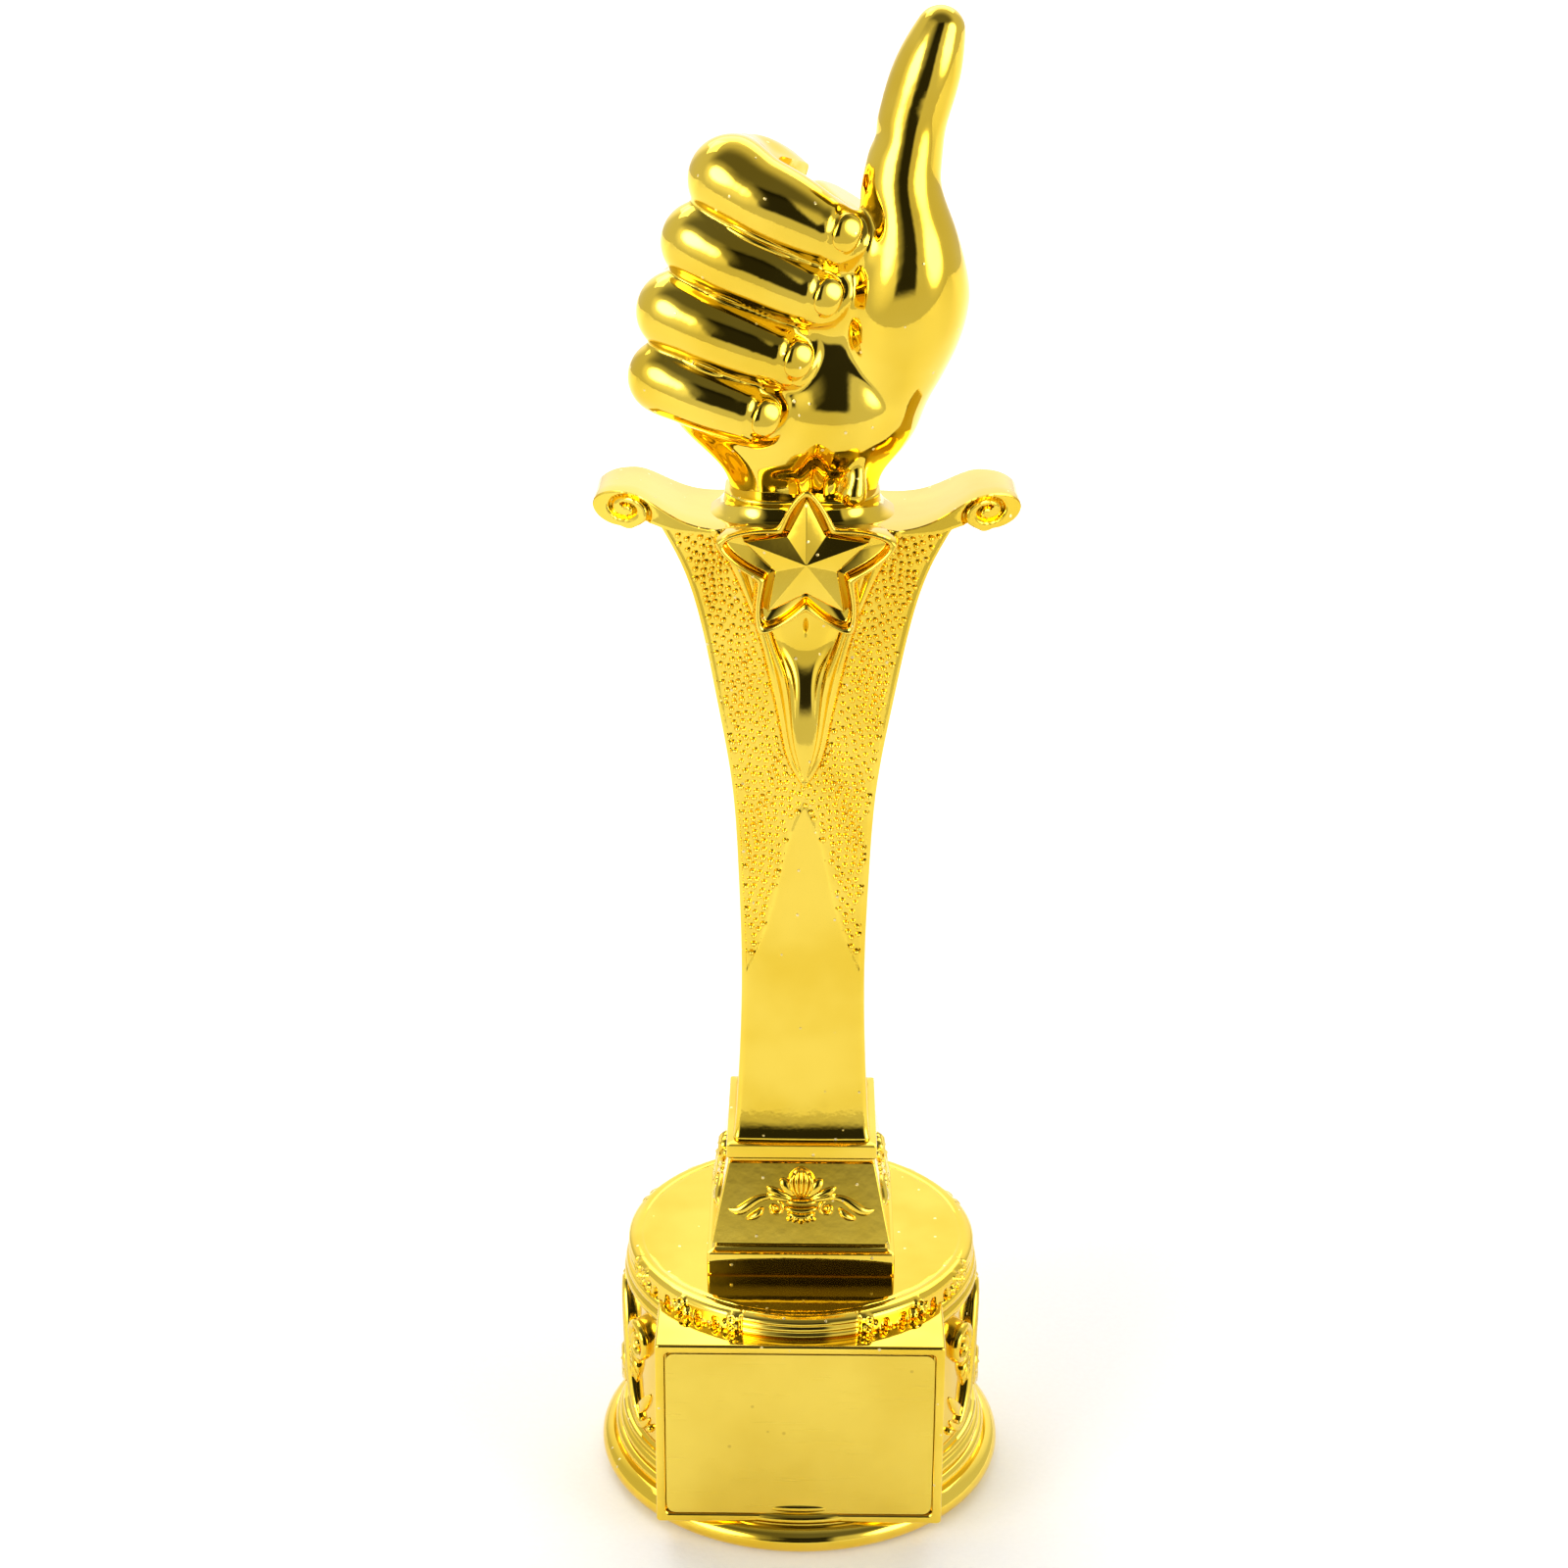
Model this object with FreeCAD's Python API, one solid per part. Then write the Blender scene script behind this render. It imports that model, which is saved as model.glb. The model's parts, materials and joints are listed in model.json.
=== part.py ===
import FreeCAD, Part
import math
import os

# Star trophy: a thumbs-up hand on a winged column, a pedestal and a round plinth with a plaque.
# Millimetres. +Z is up, the front faces -Y, and +X is to the right seen from the front.
# The origin is on the ground, under the middle of the plinth.

Vector = FreeCAD.Vector

# ---- driving sizes: overall
flange_radius = 40.0          # the plinth's widest moulding
plinth_height = 49.3          # ground to the disc that the pedestal stands on
pedestal_height = 26.4
column_height = 114.3         # pedestal to the underside of the collar
collar_height = 7.5           # to the collar's flat top
neck_height = 3.5             # mound between the collar and the wrist
hand_height = 84.5            # wrist to the tip of the thumb

# ---- walls, fits and fasteners
wall = 2.4                    # moulded shells
fit = 0.15                    # gap round a piece that drops into another
rod_diameter = 6.0
rod_clearance = 0.4           # radial, in every hole that the rod passes
nut_across_flats = 10.0
nut_thickness = 5.0
washer_radius = 8.0
washer_thickness = 1.2
pin_radius = 1.4              # locating pins across the seams
pin_length = 8.0
boss_wall = 1.3               # plastic round each pin

# ---- plinth
ground_gap = 0.5              # the felt stands this far below the shell
felt_thickness = 1.2
cover_thickness = 2.0
cover_lip = 3.0               # shell left outside the base cover
flange_height = 5.1           # top of the bullnose moulding
drum_setback = 5.1            # drum face behind the flange's edge
drum_foot_height = 12.0       # where the stepped mouldings end
rim_height = 4.3              # smooth band under the top disc
rim_setback = 0.9
top_disc_edge = 0.7           # rounding of the disc's edge
post_radius = 3.5
screw_radius = 1.3
screw_head_radius = 2.6
screw_head_height = 0.9
screw_length = 10.0
post_count = 4
ballast_thickness = 14.0
ballast_gap = 1.5
spacer_radius = 6.0

# ---- plaque block on the front of the plinth
block_half_width = 27.3
block_setback = 3.7           # its face behind the flange's edge
block_bottom = 5.6
block_top = 45.0
block_corner = 0.8
border = 1.9                  # raised edge round the plate
plate_corner = 1.6
plate_thickness = 1.0
tape_thickness = 0.5
plate_sink = 0.3              # plate face behind the raised edge

# ---- pedestal
slab_half = 18.0
slab_height = 4.9
cove_height = 1.9
pyramid_foot_half = 17.3
pyramid_head_half = 14.0
groove_height = 0.7
groove_depth = 0.6
cap_half = 14.4
cap_height = 3.2

# ---- column: half widths and half depths at its foot, waist and head
foot_half_width, foot_half_depth = 12.8, 10.8
waist_half_width, waist_half_depth = 11.6, 10.4
head_half_width, head_half_depth = 22.4, 13.5
waist_place = 0.317           # share of the column's height
foot_power, head_power = 2.0, 2.35
foot_corner, head_corner = 3.0, 9.5
column_sections = 8

# ---- collar with its two wings
wing_half_span = 38.1
wing_tip_half_depth = 6.0
wing_crest = 12.1             # above the collar's underside
wing_thickness = 4.0
collar_front = 16.0
collar_rear = 14.0

# ---- cartouche on the front: a star frame over a V
frame_front = 18.3            # face of the raised frame, forward of the axis
field_front = 17.0            # face of the field behind the star
star_height_below_top = 5.2   # star centre under the collar's flat top
star_radius, star_waist = 11.6, 6.0
star_rise = 2.6
frame_tip_radius, frame_top_radius, frame_waist = 14.8, 14.2, 8.6
frame_band = 1.1
plate_back = 2.6              # thickness of the cartouche where it stands free
peg_radius, peg_length = 1.5, 0.8
vee_rise = 0.9
vee_length = 43.0             # under the star's centre
vee_half_width = 14.0

# ---- hand
hand_depth = 31.0             # palm, front to back
wrist_half_width, wrist_half_depth = 12.7, 10.5
wrist_corner = 6.0
wrist_shift = -0.9            # the wrist stands a little left of the axis
plug_height = 9.0             # block inside the wrist
hand_wall = 2.6
seam_y = -1.0                 # where the hand's two shells meet
HAND_AS_DRAWN = 84.5
hand_unit = hand_height / HAND_AS_DRAWN      # the fingers keep their proportions

# ---- levels
pedestal_z = plinth_height
column_z = pedestal_z + pedestal_height
collar_z = column_z + column_height
collar_top_z = collar_z + collar_height
hand_z = collar_top_z + neck_height
cover_z = felt_thickness
cavity_z = cover_z + cover_thickness
ballast_z = cavity_z
star_z = collar_top_z - star_height_below_top
drum_radius = flange_radius - drum_setback
cavity_radius = drum_radius - wall
block_face = -(flange_radius - block_setback)
cover_radius = flange_radius - cover_lip
post_circle = cavity_radius - post_radius - 2.0
rod_hole = rod_diameter / 2 + rod_clearance


# ---- drawing helpers
def box(x0, x1, y0, y1, z0, z1):
    return Part.makeBox(x1 - x0, y1 - y0, z1 - z0, Vector(x0, y0, z0))


def upright(radius, z0, z1, x=0.0, y=0.0):
    return Part.makeCylinder(radius, z1 - z0, Vector(x, y, z0))


def level(radius, y0, y1, x, z):
    """A cylinder along y."""
    return Part.makeCylinder(radius, y1 - y0, Vector(x, y0, z), Vector(0, 1, 0))


def outline(place, start, steps):
    """Closed wire. A step is an end point, or a middle and an end point for an arc."""
    edges, here, first = [], place(*start), place(*start)
    for step in steps:
        if isinstance(step[0], tuple):
            middle, end = place(*step[0]), place(*step[1])
            edges.append(Part.Arc(here, middle, end).toShape())
        else:
            end = place(*step)
            edges.append(Part.makeLine(here, end))
        here = end
    if here.distanceToPoint(first) > 1e-6:
        edges.append(Part.makeLine(here, first))
    return Part.Wire(edges)


def both_sides(start, steps):
    """The steps of a right half that starts and ends on the axis, and of its mirror image."""
    ends = [start] + [step[1] if isinstance(step[0], tuple) else step for step in steps]
    left = []
    for step, end in zip(reversed(steps), reversed(ends[:-1])):
        end = (-end[0], end[1])
        left.append(((-step[0][0], step[0][1]), end) if isinstance(step[0], tuple) else end)
    return list(steps) + left


def revolved(start, steps):
    wire = outline(lambda r, z: Vector(r, 0, z), start, steps)
    return Part.Face(wire).revolve(Vector(0, 0, 0), Vector(0, 0, 1), 360)


def front_prism(start, steps, y_front, y_back):
    """An outline drawn in x and z, and drawn out from y_front to y_back."""
    wire = outline(lambda x, z: Vector(x, y_front, z), start, steps)
    return Part.Face(wire).extrude(Vector(0, y_back - y_front, 0))


def rounded_section(half_x, half_y, corner, z, x=0.0, y=0.0):
    a, b, c = half_x - corner, half_y - corner, corner * math.sqrt(0.5)
    return outline(lambda px, py: Vector(x + px, y + py, z), (-a, -half_y), [
        (a, -half_y), ((a + c, -b - c), (half_x, -b)),
        (half_x, b), ((a + c, b + c), (a, half_y)),
        (-a, half_y), ((-a - c, b + c), (-half_x, b)),
        (-half_x, -b), ((-a - c, -b - c), (-a, -half_y))])


def loft(sections):
    return Part.makeLoft(sections, True, False)


def star_points(tips, waist, centre_z):
    """Ten corners, the first at the top, for a list of five tip radii that starts at the top."""
    points = []
    for i in range(10):
        radius = tips[i // 2] if i % 2 == 0 else waist
        angle = math.pi / 2 - i * math.pi / 5
        points.append((radius * math.cos(angle), centre_z + radius * math.sin(angle)))
    return points


def around(shape, count):
    copies = []
    for i in range(count):
        copy = shape.copy()
        copy.rotate(Vector(0, 0, 0), Vector(0, 0, 1), (i + 0.5) * 360.0 / count)
        copies.append(copy)
    return copies


def hexagon(across_flats, z0, z1):
    radius = across_flats / math.sqrt(3)
    corners = [Vector(radius * math.cos(k * math.pi / 3), radius * math.sin(k * math.pi / 3), z0)
               for k in range(7)]
    return Part.Face(Part.makePolygon(corners)).extrude(Vector(0, 0, z1 - z0))


# ---- plinth
def plinth_shell():
    rim_z = plinth_height - rim_height
    rim_radius = drum_radius - rim_setback
    step = (drum_foot_height - flange_height) / 3
    inward = drum_setback / 3.4
    ring = flange_radius - 1.0
    half_flange = (ground_gap + flange_height) / 2
    steps = [(ring, ground_gap), ((flange_radius, half_flange), (ring, flange_height))]
    for i in range(3):
        z, r = flange_height + i * step, flange_radius - 1.2 - i * inward
        steps += [(r, z), ((r + 0.3, z + step / 2), (r, z + step))]
    steps += [(drum_radius, drum_foot_height), (drum_radius, rim_z), (rim_radius, rim_z),
              (rim_radius, plinth_height - top_disc_edge),
              (rim_radius - top_disc_edge, plinth_height), (0, plinth_height)]
    body = revolved((0, ground_gap), steps)
    block = box(-block_half_width, block_half_width, block_face, 0, block_bottom, block_top)
    block = block.makeFillet(block_corner, [e for e in block.Edges if is_front_corner(e)])
    body = body.cut(box(-block_half_width, block_half_width, -2 * flange_radius, 0, block_bottom,
                        drum_foot_height))
    body = body.fuse(block).removeSplitter()

    inside = upright(cavity_radius, cavity_z, plinth_height - wall)
    recess_depth = tape_thickness + plate_thickness + plate_sink
    behind_plate = block_face + recess_depth + wall
    inside = inside.fuse(box(-block_half_width + wall, block_half_width - wall, behind_plate, 0,
                             block_bottom + wall, block_top - wall))
    inside = inside.fuse(upright(cover_radius + fit, 0, cavity_z))
    post = upright(post_radius, cavity_z, plinth_height - wall, post_circle)
    hole = upright(screw_radius - 0.1, cavity_z - 1, cavity_z + screw_length, post_circle)
    body = body.cut(inside.cut(Part.makeCompound(around(post, post_count))))
    body = body.cut(Part.makeCompound(around(hole, post_count)))
    body = body.cut(plate_prism(block_face, recess_depth, fit))
    return body.cut(upright(rod_hole, 0, plinth_height + 1))


def is_front_corner(edge):
    middle = edge.CenterOfMass
    return middle.y < -1 and abs(edge.BoundBox.ZLength) > 1


def plate_prism(y_front, depth, grow):
    """The plaque's outline, and the recess that it drops into."""
    half = block_half_width - border - fit + grow
    low, high = block_bottom + border - grow + fit, block_top - border + grow - fit
    body = box(-half, half, y_front, y_front + depth, low, high)
    corners = [e for e in body.Edges if abs(e.BoundBox.YLength) > depth / 2]
    return body.makeFillet(plate_corner, corners)


def nameplate():
    return plate_prism(block_face + plate_sink, plate_thickness, 0)


def nameplate_tape():
    return plate_prism(block_face + plate_sink + plate_thickness, tape_thickness, -1.0)


def base_cover():
    cover = upright(cover_radius, cover_z, cavity_z)
    hole = upright(screw_radius + 0.2, 0, cavity_z + 1, post_circle)
    hole = hole.fuse(upright(screw_head_radius + 0.2, cover_z, cover_z + screw_head_height, post_circle))
    return cover.cut(Part.makeCompound(around(hole, post_count)))


def felt_pad():
    return upright(cover_radius - 0.5, 0, felt_thickness)


def cover_screws():
    head = upright(screw_head_radius, cover_z, cover_z + screw_head_height, post_circle)
    head = head.cut(box(post_circle - 2, post_circle + 2, -0.3, 0.3, cover_z, cover_z + 0.5))
    shank = upright(screw_radius - 0.1, cover_z + 0.6, cavity_z + screw_length - 0.5, post_circle)
    return Part.makeCompound(around(head.fuse(shank).removeSplitter(), post_count))


def ballast_disc():
    radius = post_circle - post_radius - ballast_gap
    disc = upright(radius, ballast_z, ballast_z + ballast_thickness)
    well = upright(washer_radius + 1, ballast_z, nut_z() + nut_thickness + washer_thickness)
    return disc.cut(well).cut(upright(rod_hole, 0, ballast_z + ballast_thickness + 1))


def nut_z():
    """Underside of the lower nut, clear of the base cover."""
    return ballast_z + 1.4


def rod_washer():
    z = nut_z() + nut_thickness
    return upright(washer_radius, z, z + washer_thickness).cut(upright(rod_hole, z - 1, z + 9))


def rod_nut(z):
    return hexagon(nut_across_flats, z, z + nut_thickness).cut(upright(rod_diameter / 2, z - 1, z + 9))


def spacer_tube():
    z0, z1 = ballast_z + ballast_thickness, plinth_height - wall
    return upright(spacer_radius, z0, z1).cut(upright(rod_hole, z0 - 1, z1 + 1))


def tie_rod():
    rod = upright(rod_diameter / 2, nut_z() - 0.8, plug_top_z() + nut_thickness + 1.5)
    return rod.makeChamfer(0.5, [e for e in rod.Edges if e.Curve.TypeId == "Part::GeomCircle"])


# ---- pedestal
def square(half, z):
    corners = [Vector(sx * half, sy * half, z) for sx, sy in ((-1, -1), (1, -1), (1, 1), (-1, 1))]
    return Part.makePolygon(corners + corners[:1])


def pedestal_shell():
    slab_top = pedestal_z + slab_height
    cove_top = slab_top + cove_height
    cap_z = column_z - cap_height
    groove_z = cap_z - groove_height
    slab = box(-slab_half, slab_half, -slab_half, slab_half, pedestal_z, slab_top)
    slab = slab.makeFillet(0.6, [e for e in slab.Edges if e.CenterOfMass.z > pedestal_z + 0.1])
    cove = Part.makeLoft([square(slab_half - 0.9, slab_top - 0.7), square(pyramid_foot_half, cove_top)],
                         True, True)
    pyramid = Part.makeLoft([square(pyramid_foot_half, cove_top), square(pyramid_head_half, groove_z)],
                            True, True)
    neck = pyramid_head_half - groove_depth
    groove = box(-neck, neck, -neck, neck, groove_z, cap_z)
    cap = box(-cap_half, cap_half, -cap_half, cap_half, cap_z, column_z)
    cap = cap.makeFillet(0.5, cap.Edges)
    cap = cap.fuse(box(-cap_half + 1, cap_half - 1, -cap_half + 1, cap_half - 1, cap_z, column_z))
    body = slab.fuse([cove, pyramid, groove, cap]).removeSplitter()
    hollow = Part.makeLoft([square(slab_half - wall, pedestal_z), square(slab_half - wall, slab_top - 1),
                            square(neck - wall, cap_z - 1)], True, True)
    return body.cut(hollow).cut(upright(rod_hole, pedestal_z, column_z + 1))


# ---- column
def column_half(share, foot, waist, head):
    """Half width or depth at a share of the column's height."""
    if share < waist_place:
        return waist + (foot - waist) * ((waist_place - share) / waist_place) ** foot_power
    return waist + (head - waist) * ((share - waist_place) / (1 - waist_place)) ** head_power


def column_solid(grow=0.0, low=0.0, high=1.0):
    sections = []
    for i in range(column_sections + 1):
        share = low + (high - low) * i / column_sections
        half_x = column_half(share, foot_half_width, waist_half_width, head_half_width) + grow
        half_y = column_half(share, foot_half_depth, waist_half_depth, head_half_depth) + grow
        corner = foot_corner + (head_corner - foot_corner) * share
        sections.append(rounded_section(half_x, half_y, corner, column_z + share * column_height))
    return loft(sections)


def in_halves(solid, cavity, boss_places, seam):
    """Front and rear shells with a boss at each place, drilled for a locating pin."""
    shell = solid.cut(cavity)
    for x, z in boss_places:
        shell = shell.fuse(level(pin_radius + boss_wall, -60, 60, x, z).common(solid))
    for x, z in boss_places:
        shell = shell.cut(level(pin_radius, seam - pin_length / 2, seam + pin_length / 2, x, z))
    front = shell.common(box(-80, 80, -80, seam, 0, 400))
    rear = shell.common(box(-80, 80, seam, 80, 0, 400))
    return front, rear


def column_boss_places():
    side = rod_hole + pin_radius + boss_wall + 0.4
    return [(-side, column_z + 0.2 * column_height), (side, column_z + 0.8 * column_height)]


def column_shells():
    floor = wall / column_height
    cavity = column_solid(-wall, floor, 1 - floor)
    solid = column_solid().cut(upright(rod_hole, column_z - 1, collar_z + 1))
    return in_halves(solid, cavity, column_boss_places(), 0.0)


def locating_pins(places, seam):
    return [level(pin_radius, seam - pin_length / 2, seam + pin_length / 2, x, z) for x, z in places]


# ---- collar
def collar():
    z = collar_z
    tip, crest = wing_half_span, z + wing_crest
    volute_x = wing_half_span - 5.3
    steps = [(head_half_width, z), ((head_half_width + 1.8, z + 3.6), (head_half_width + 4.3, z + 7.0)),
             ((volute_x - 3.5, z + 6.2), (volute_x, crest - wing_thickness - 2.5)),
             ((tip, z + 8.7), (volute_x, crest)),
             ((volute_x - 5.2, z + wing_crest - 1.4), (volute_x - 12.0, z + collar_height)),
             (0, z + collar_height)]
    front_view = front_prism((0, z), both_sides((0, z), steps), -30, 30)
    end, half = wing_half_span - 1.4, wing_tip_half_depth
    plan = outline(lambda x, y: Vector(x, y, z - 1), (-end, -half), [
        ((0, -collar_front), (end, -half)), ((wing_half_span, 0), (end, half)),
        ((0, collar_rear), (-end, half)), ((-wing_half_span, 0), (-end, -half))])
    plan_view = Part.Face(plan).extrude(Vector(0, 0, 30))
    body = front_view.common(plan_view)
    mound = loft([rounded_section(wrist_half_width + 2.2, wrist_half_depth + 1.6, 6.5,
                                  collar_top_z - 0.5, wrist_shift),
                  rounded_section(wrist_half_width + 1.2, wrist_half_depth + 0.8, 6.5,
                                  collar_top_z + neck_height * 0.4, wrist_shift),
                  rounded_section(wrist_half_width, wrist_half_depth, wrist_corner, hand_z, wrist_shift)])
    return body.fuse(mound).removeSplitter().cut(upright(rod_hole, z - 1, hand_z + 1))


# ---- cartouche and star
def frame_tips():
    return [frame_top_radius] + [frame_tip_radius] * 4


def star_prism(tips, waist, y_front, y_back):
    points = star_points(tips, waist, star_z)
    return front_prism(points[0], points[1:], y_front, y_back)


def front_cartouche():
    field = star_prism(frame_tips(), frame_waist, -field_front, -field_front + plate_back)
    root = star_prism(frame_tips(), frame_waist, -field_front, -foot_half_depth)
    root = root.common(box(-60, 60, -60, 60, 0, collar_top_z - 1))
    ring = star_prism(frame_tips(), frame_waist, -frame_front, -field_front)
    inner = [r - 2.2 * frame_band for r in frame_tips()]
    ring = ring.cut(star_prism(inner, frame_waist - frame_band, -frame_front - 1, -field_front + 1))
    vee_top = star_z - 4.0
    vee = front_prism((0, star_z - vee_length), [(vee_half_width, vee_top), (-vee_half_width, vee_top)],
                      -40, 0)
    vee = vee.common(column_solid(vee_rise))
    cartouche = field.fuse([root, ring, vee]).removeSplitter()
    cartouche = cartouche.cut(column_solid()).cut(collar())
    cartouche = cartouche.cut(level(peg_radius + fit, -field_front, -field_front + peg_length + fit,
                                    0, star_z))
    return max(cartouche.Solids, key=lambda solid: solid.Volume)


def star():
    rim = [Vector(x, -field_front, z) for x, z in star_points([star_radius] * 5, star_waist, star_z)]
    peak = Vector(0, -field_front - star_rise, star_z)
    faces = [Part.Face(Part.makePolygon(rim + rim[:1]))]
    for a, b in zip(rim, rim[1:] + rim[:1]):
        faces.append(Part.Face(Part.makePolygon([a, b, peak, a])))
    solid = Part.makeSolid(Part.makeShell(faces))
    if solid.Volume < 0:
        solid.reverse()
    return solid.fuse(level(peg_radius, -field_front - 0.5, -field_front + peg_length, 0, star_z))


# ---- hand, drawn in units that grow with it
# The palm's sections: height over the wrist, x, half width, and half depth as a share of the palm's.
PALM = [(9, -1.6, 17.6, 0.86), (20, -1.5, 23.0, 0.96), (33, 1.0, 25.2, 1.0),
        (46, 0.5, 23.0, 0.97), (56, -2.0, 16.5, 0.75)]
# Each finger's left and right end, as x, y and height over the wrist, and its radius.
FINGERS = [((-12.4, -8, 55.0), (5.0, -11, 48.8), 6.6), ((-17.8, -8, 44.0), (2.8, -11, 37.4), 6.8),
           ((-21.6, -8, 32.0), (-2.2, -11, 27.0), 6.6), ((-23.6, -7, 20.6), (-7.0, -10, 16.2), 6.2)]
# The thumb from its root up, as x, height over the wrist, and radius.
THUMB = [(15.0, 38, 7.6), (16.0, 51, 7.0), (16.7, 58, 6.3), (18.9, 67.7, 6.1), (21.2, 77.0, 5.2)]
THUMB_TIP_X, THUMB_TIP_RADIUS, THUMB_Y = 22.0, 4.6, -3.0


def in_hand(x, y, height):
    return Vector(x * hand_unit, y * hand_unit, hand_z + height * hand_unit)


def palm(grow, floor, top):
    """The palm and wrist, from a floor over the wrist's end up to its station number top."""
    sections = [rounded_section(wrist_half_width + grow, wrist_half_depth + grow, wrist_corner,
                                hand_z + floor, wrist_shift)]
    for height, x, half_x, share in PALM[:top]:
        middle = in_hand(x, 1.5, height)
        sections.append(rounded_section(half_x * hand_unit + grow, share * hand_depth / 2 + grow, 6.5,
                                        middle.z, middle.x, middle.y))
    return loft(sections)


def hand_solid():
    pieces = []
    for left, right, radius in FINGERS:
        a, b, r = in_hand(*left), in_hand(*right), radius * hand_unit
        pieces += [Part.makeCylinder(r, (b - a).Length, a, b - a), Part.makeSphere(r, a),
                   Part.makeSphere(r, b)]
    circles = [Part.Wire(Part.makeCircle(r * hand_unit, in_hand(x, THUMB_Y, height)).Edges)
               for x, height, r in THUMB]
    pieces.append(loft(circles))
    x, height, radius = THUMB[-1]
    end = in_hand(x, THUMB_Y, height)
    tip = in_hand(THUMB_TIP_X, THUMB_Y, hand_height / hand_unit - THUMB_TIP_RADIUS)
    pieces += [Part.makeSphere(radius * hand_unit, end), Part.makeSphere(THUMB_TIP_RADIUS * hand_unit, tip)]
    solid = palm(0.0, 0.0, len(PALM)).fuse(pieces)
    return solid.cut(upright(rod_hole, hand_z - 1, hand_z + hand_wall + 1))


def hand_boss_places():
    low, high = in_hand(-16.0, 0, 24), in_hand(16.0, 0, 36)
    return [(low.x, low.z), (high.x, high.z)]


def wrist_prism(grow, z0, z1):
    return loft([rounded_section(wrist_half_width + grow, wrist_half_depth + grow, wrist_corner + grow,
                                 z, wrist_shift) for z in (z0, z1)])


def hand_shells():
    cavity = palm(-hand_wall, hand_wall, len(PALM) - 1)
    cavity = cavity.fuse(wrist_prism(-hand_wall, hand_z + hand_wall, plug_top_z() + 1))
    return in_halves(hand_solid(), cavity, hand_boss_places(), seam_y)


def plug_top_z():
    return hand_z + hand_wall + plug_height


def hand_plug():
    """A block in the wrist that the upper nut pulls down on."""
    z0, z1 = hand_z + hand_wall, plug_top_z()
    return wrist_prism(-hand_wall - fit, z0, z1).cut(upright(rod_hole, z0 - 1, z1 + 1))


# ---- the whole trophy
def trophy():
    parts = {
        "felt_pad": felt_pad(), "base_cover": base_cover(), "cover_screws": cover_screws(),
        "ballast_disc": ballast_disc(), "rod_washer": rod_washer(), "lower_nut": rod_nut(nut_z()),
        "tie_rod": tie_rod(), "spacer_tube": spacer_tube(), "plinth_shell": plinth_shell(),
        "nameplate_tape": nameplate_tape(), "nameplate": nameplate(),
        "pedestal_shell": pedestal_shell(), "collar": collar(),
        "front_cartouche": front_cartouche(), "star": star(),
        "hand_plug": hand_plug(), "upper_nut": rod_nut(plug_top_z()),
    }
    parts["column_front_shell"], parts["column_rear_shell"] = column_shells()
    parts["hand_front_shell"], parts["hand_rear_shell"] = hand_shells()
    pins = locating_pins(column_boss_places(), 0.0) + locating_pins(hand_boss_places(), seam_y)
    parts["locating_pins"] = Part.makeCompound(pins)
    return parts


os.makedirs("parts", exist_ok=True)
for node, shape in trophy().items():
    print(node, len(shape.Solids), round(shape.Volume / 1000, 2), "ml", shape.isValid())
    shape.exportStep("parts/" + node + ".step")
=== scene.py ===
import bmesh
import bpy
import json
import math
import numpy as np
from mathutils import Matrix, Vector


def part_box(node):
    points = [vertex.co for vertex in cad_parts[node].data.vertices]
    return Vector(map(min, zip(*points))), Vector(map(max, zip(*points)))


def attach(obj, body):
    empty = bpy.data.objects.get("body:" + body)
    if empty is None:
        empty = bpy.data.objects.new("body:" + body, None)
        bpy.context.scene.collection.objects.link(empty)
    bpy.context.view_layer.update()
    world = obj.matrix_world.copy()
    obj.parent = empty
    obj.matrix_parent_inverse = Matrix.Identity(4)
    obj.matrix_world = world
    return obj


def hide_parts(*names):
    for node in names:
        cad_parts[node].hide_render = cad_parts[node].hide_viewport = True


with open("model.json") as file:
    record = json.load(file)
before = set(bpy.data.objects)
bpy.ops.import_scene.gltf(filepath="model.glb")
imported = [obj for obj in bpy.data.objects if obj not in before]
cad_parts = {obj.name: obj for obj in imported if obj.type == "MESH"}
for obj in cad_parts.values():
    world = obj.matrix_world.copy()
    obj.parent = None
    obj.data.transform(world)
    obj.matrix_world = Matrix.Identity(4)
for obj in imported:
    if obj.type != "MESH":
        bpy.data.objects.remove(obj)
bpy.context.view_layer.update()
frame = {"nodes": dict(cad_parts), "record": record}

# Pieces are drawn in millimetres and scaled when they are finished.
MM = 0.001


def corner_mm(node, which):
    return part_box(node)[which] / MM


# ---- places taken from the frame
flange_radius = corner_mm("plinth_shell", 1).x
plinth_bottom = corner_mm("plinth_shell", 0).z
plinth_top = corner_mm("plinth_shell", 1).z
slab_half = corner_mm("pedestal_shell", 1).x
pedestal_top = corner_mm("pedestal_shell", 1).z
collar_under = corner_mm("collar", 0).z
wing_span = corner_mm("collar", 1).x
wing_crest = corner_mm("collar", 1).z
block_half = corner_mm("nameplate", 1).x + 2.05
plate_front = corner_mm("nameplate", 0).y
thumb_top = corner_mm("hand_front_shell", 1).z
wrist_z = corner_mm("hand_front_shell", 0).z
star_z = (corner_mm("star", 0).z + corner_mm("star", 1).z) / 2 - 1.1
drum_radius = flange_radius - 5.2
deck_z = wrist_z - 3.5                      # the collar's flat top


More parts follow.
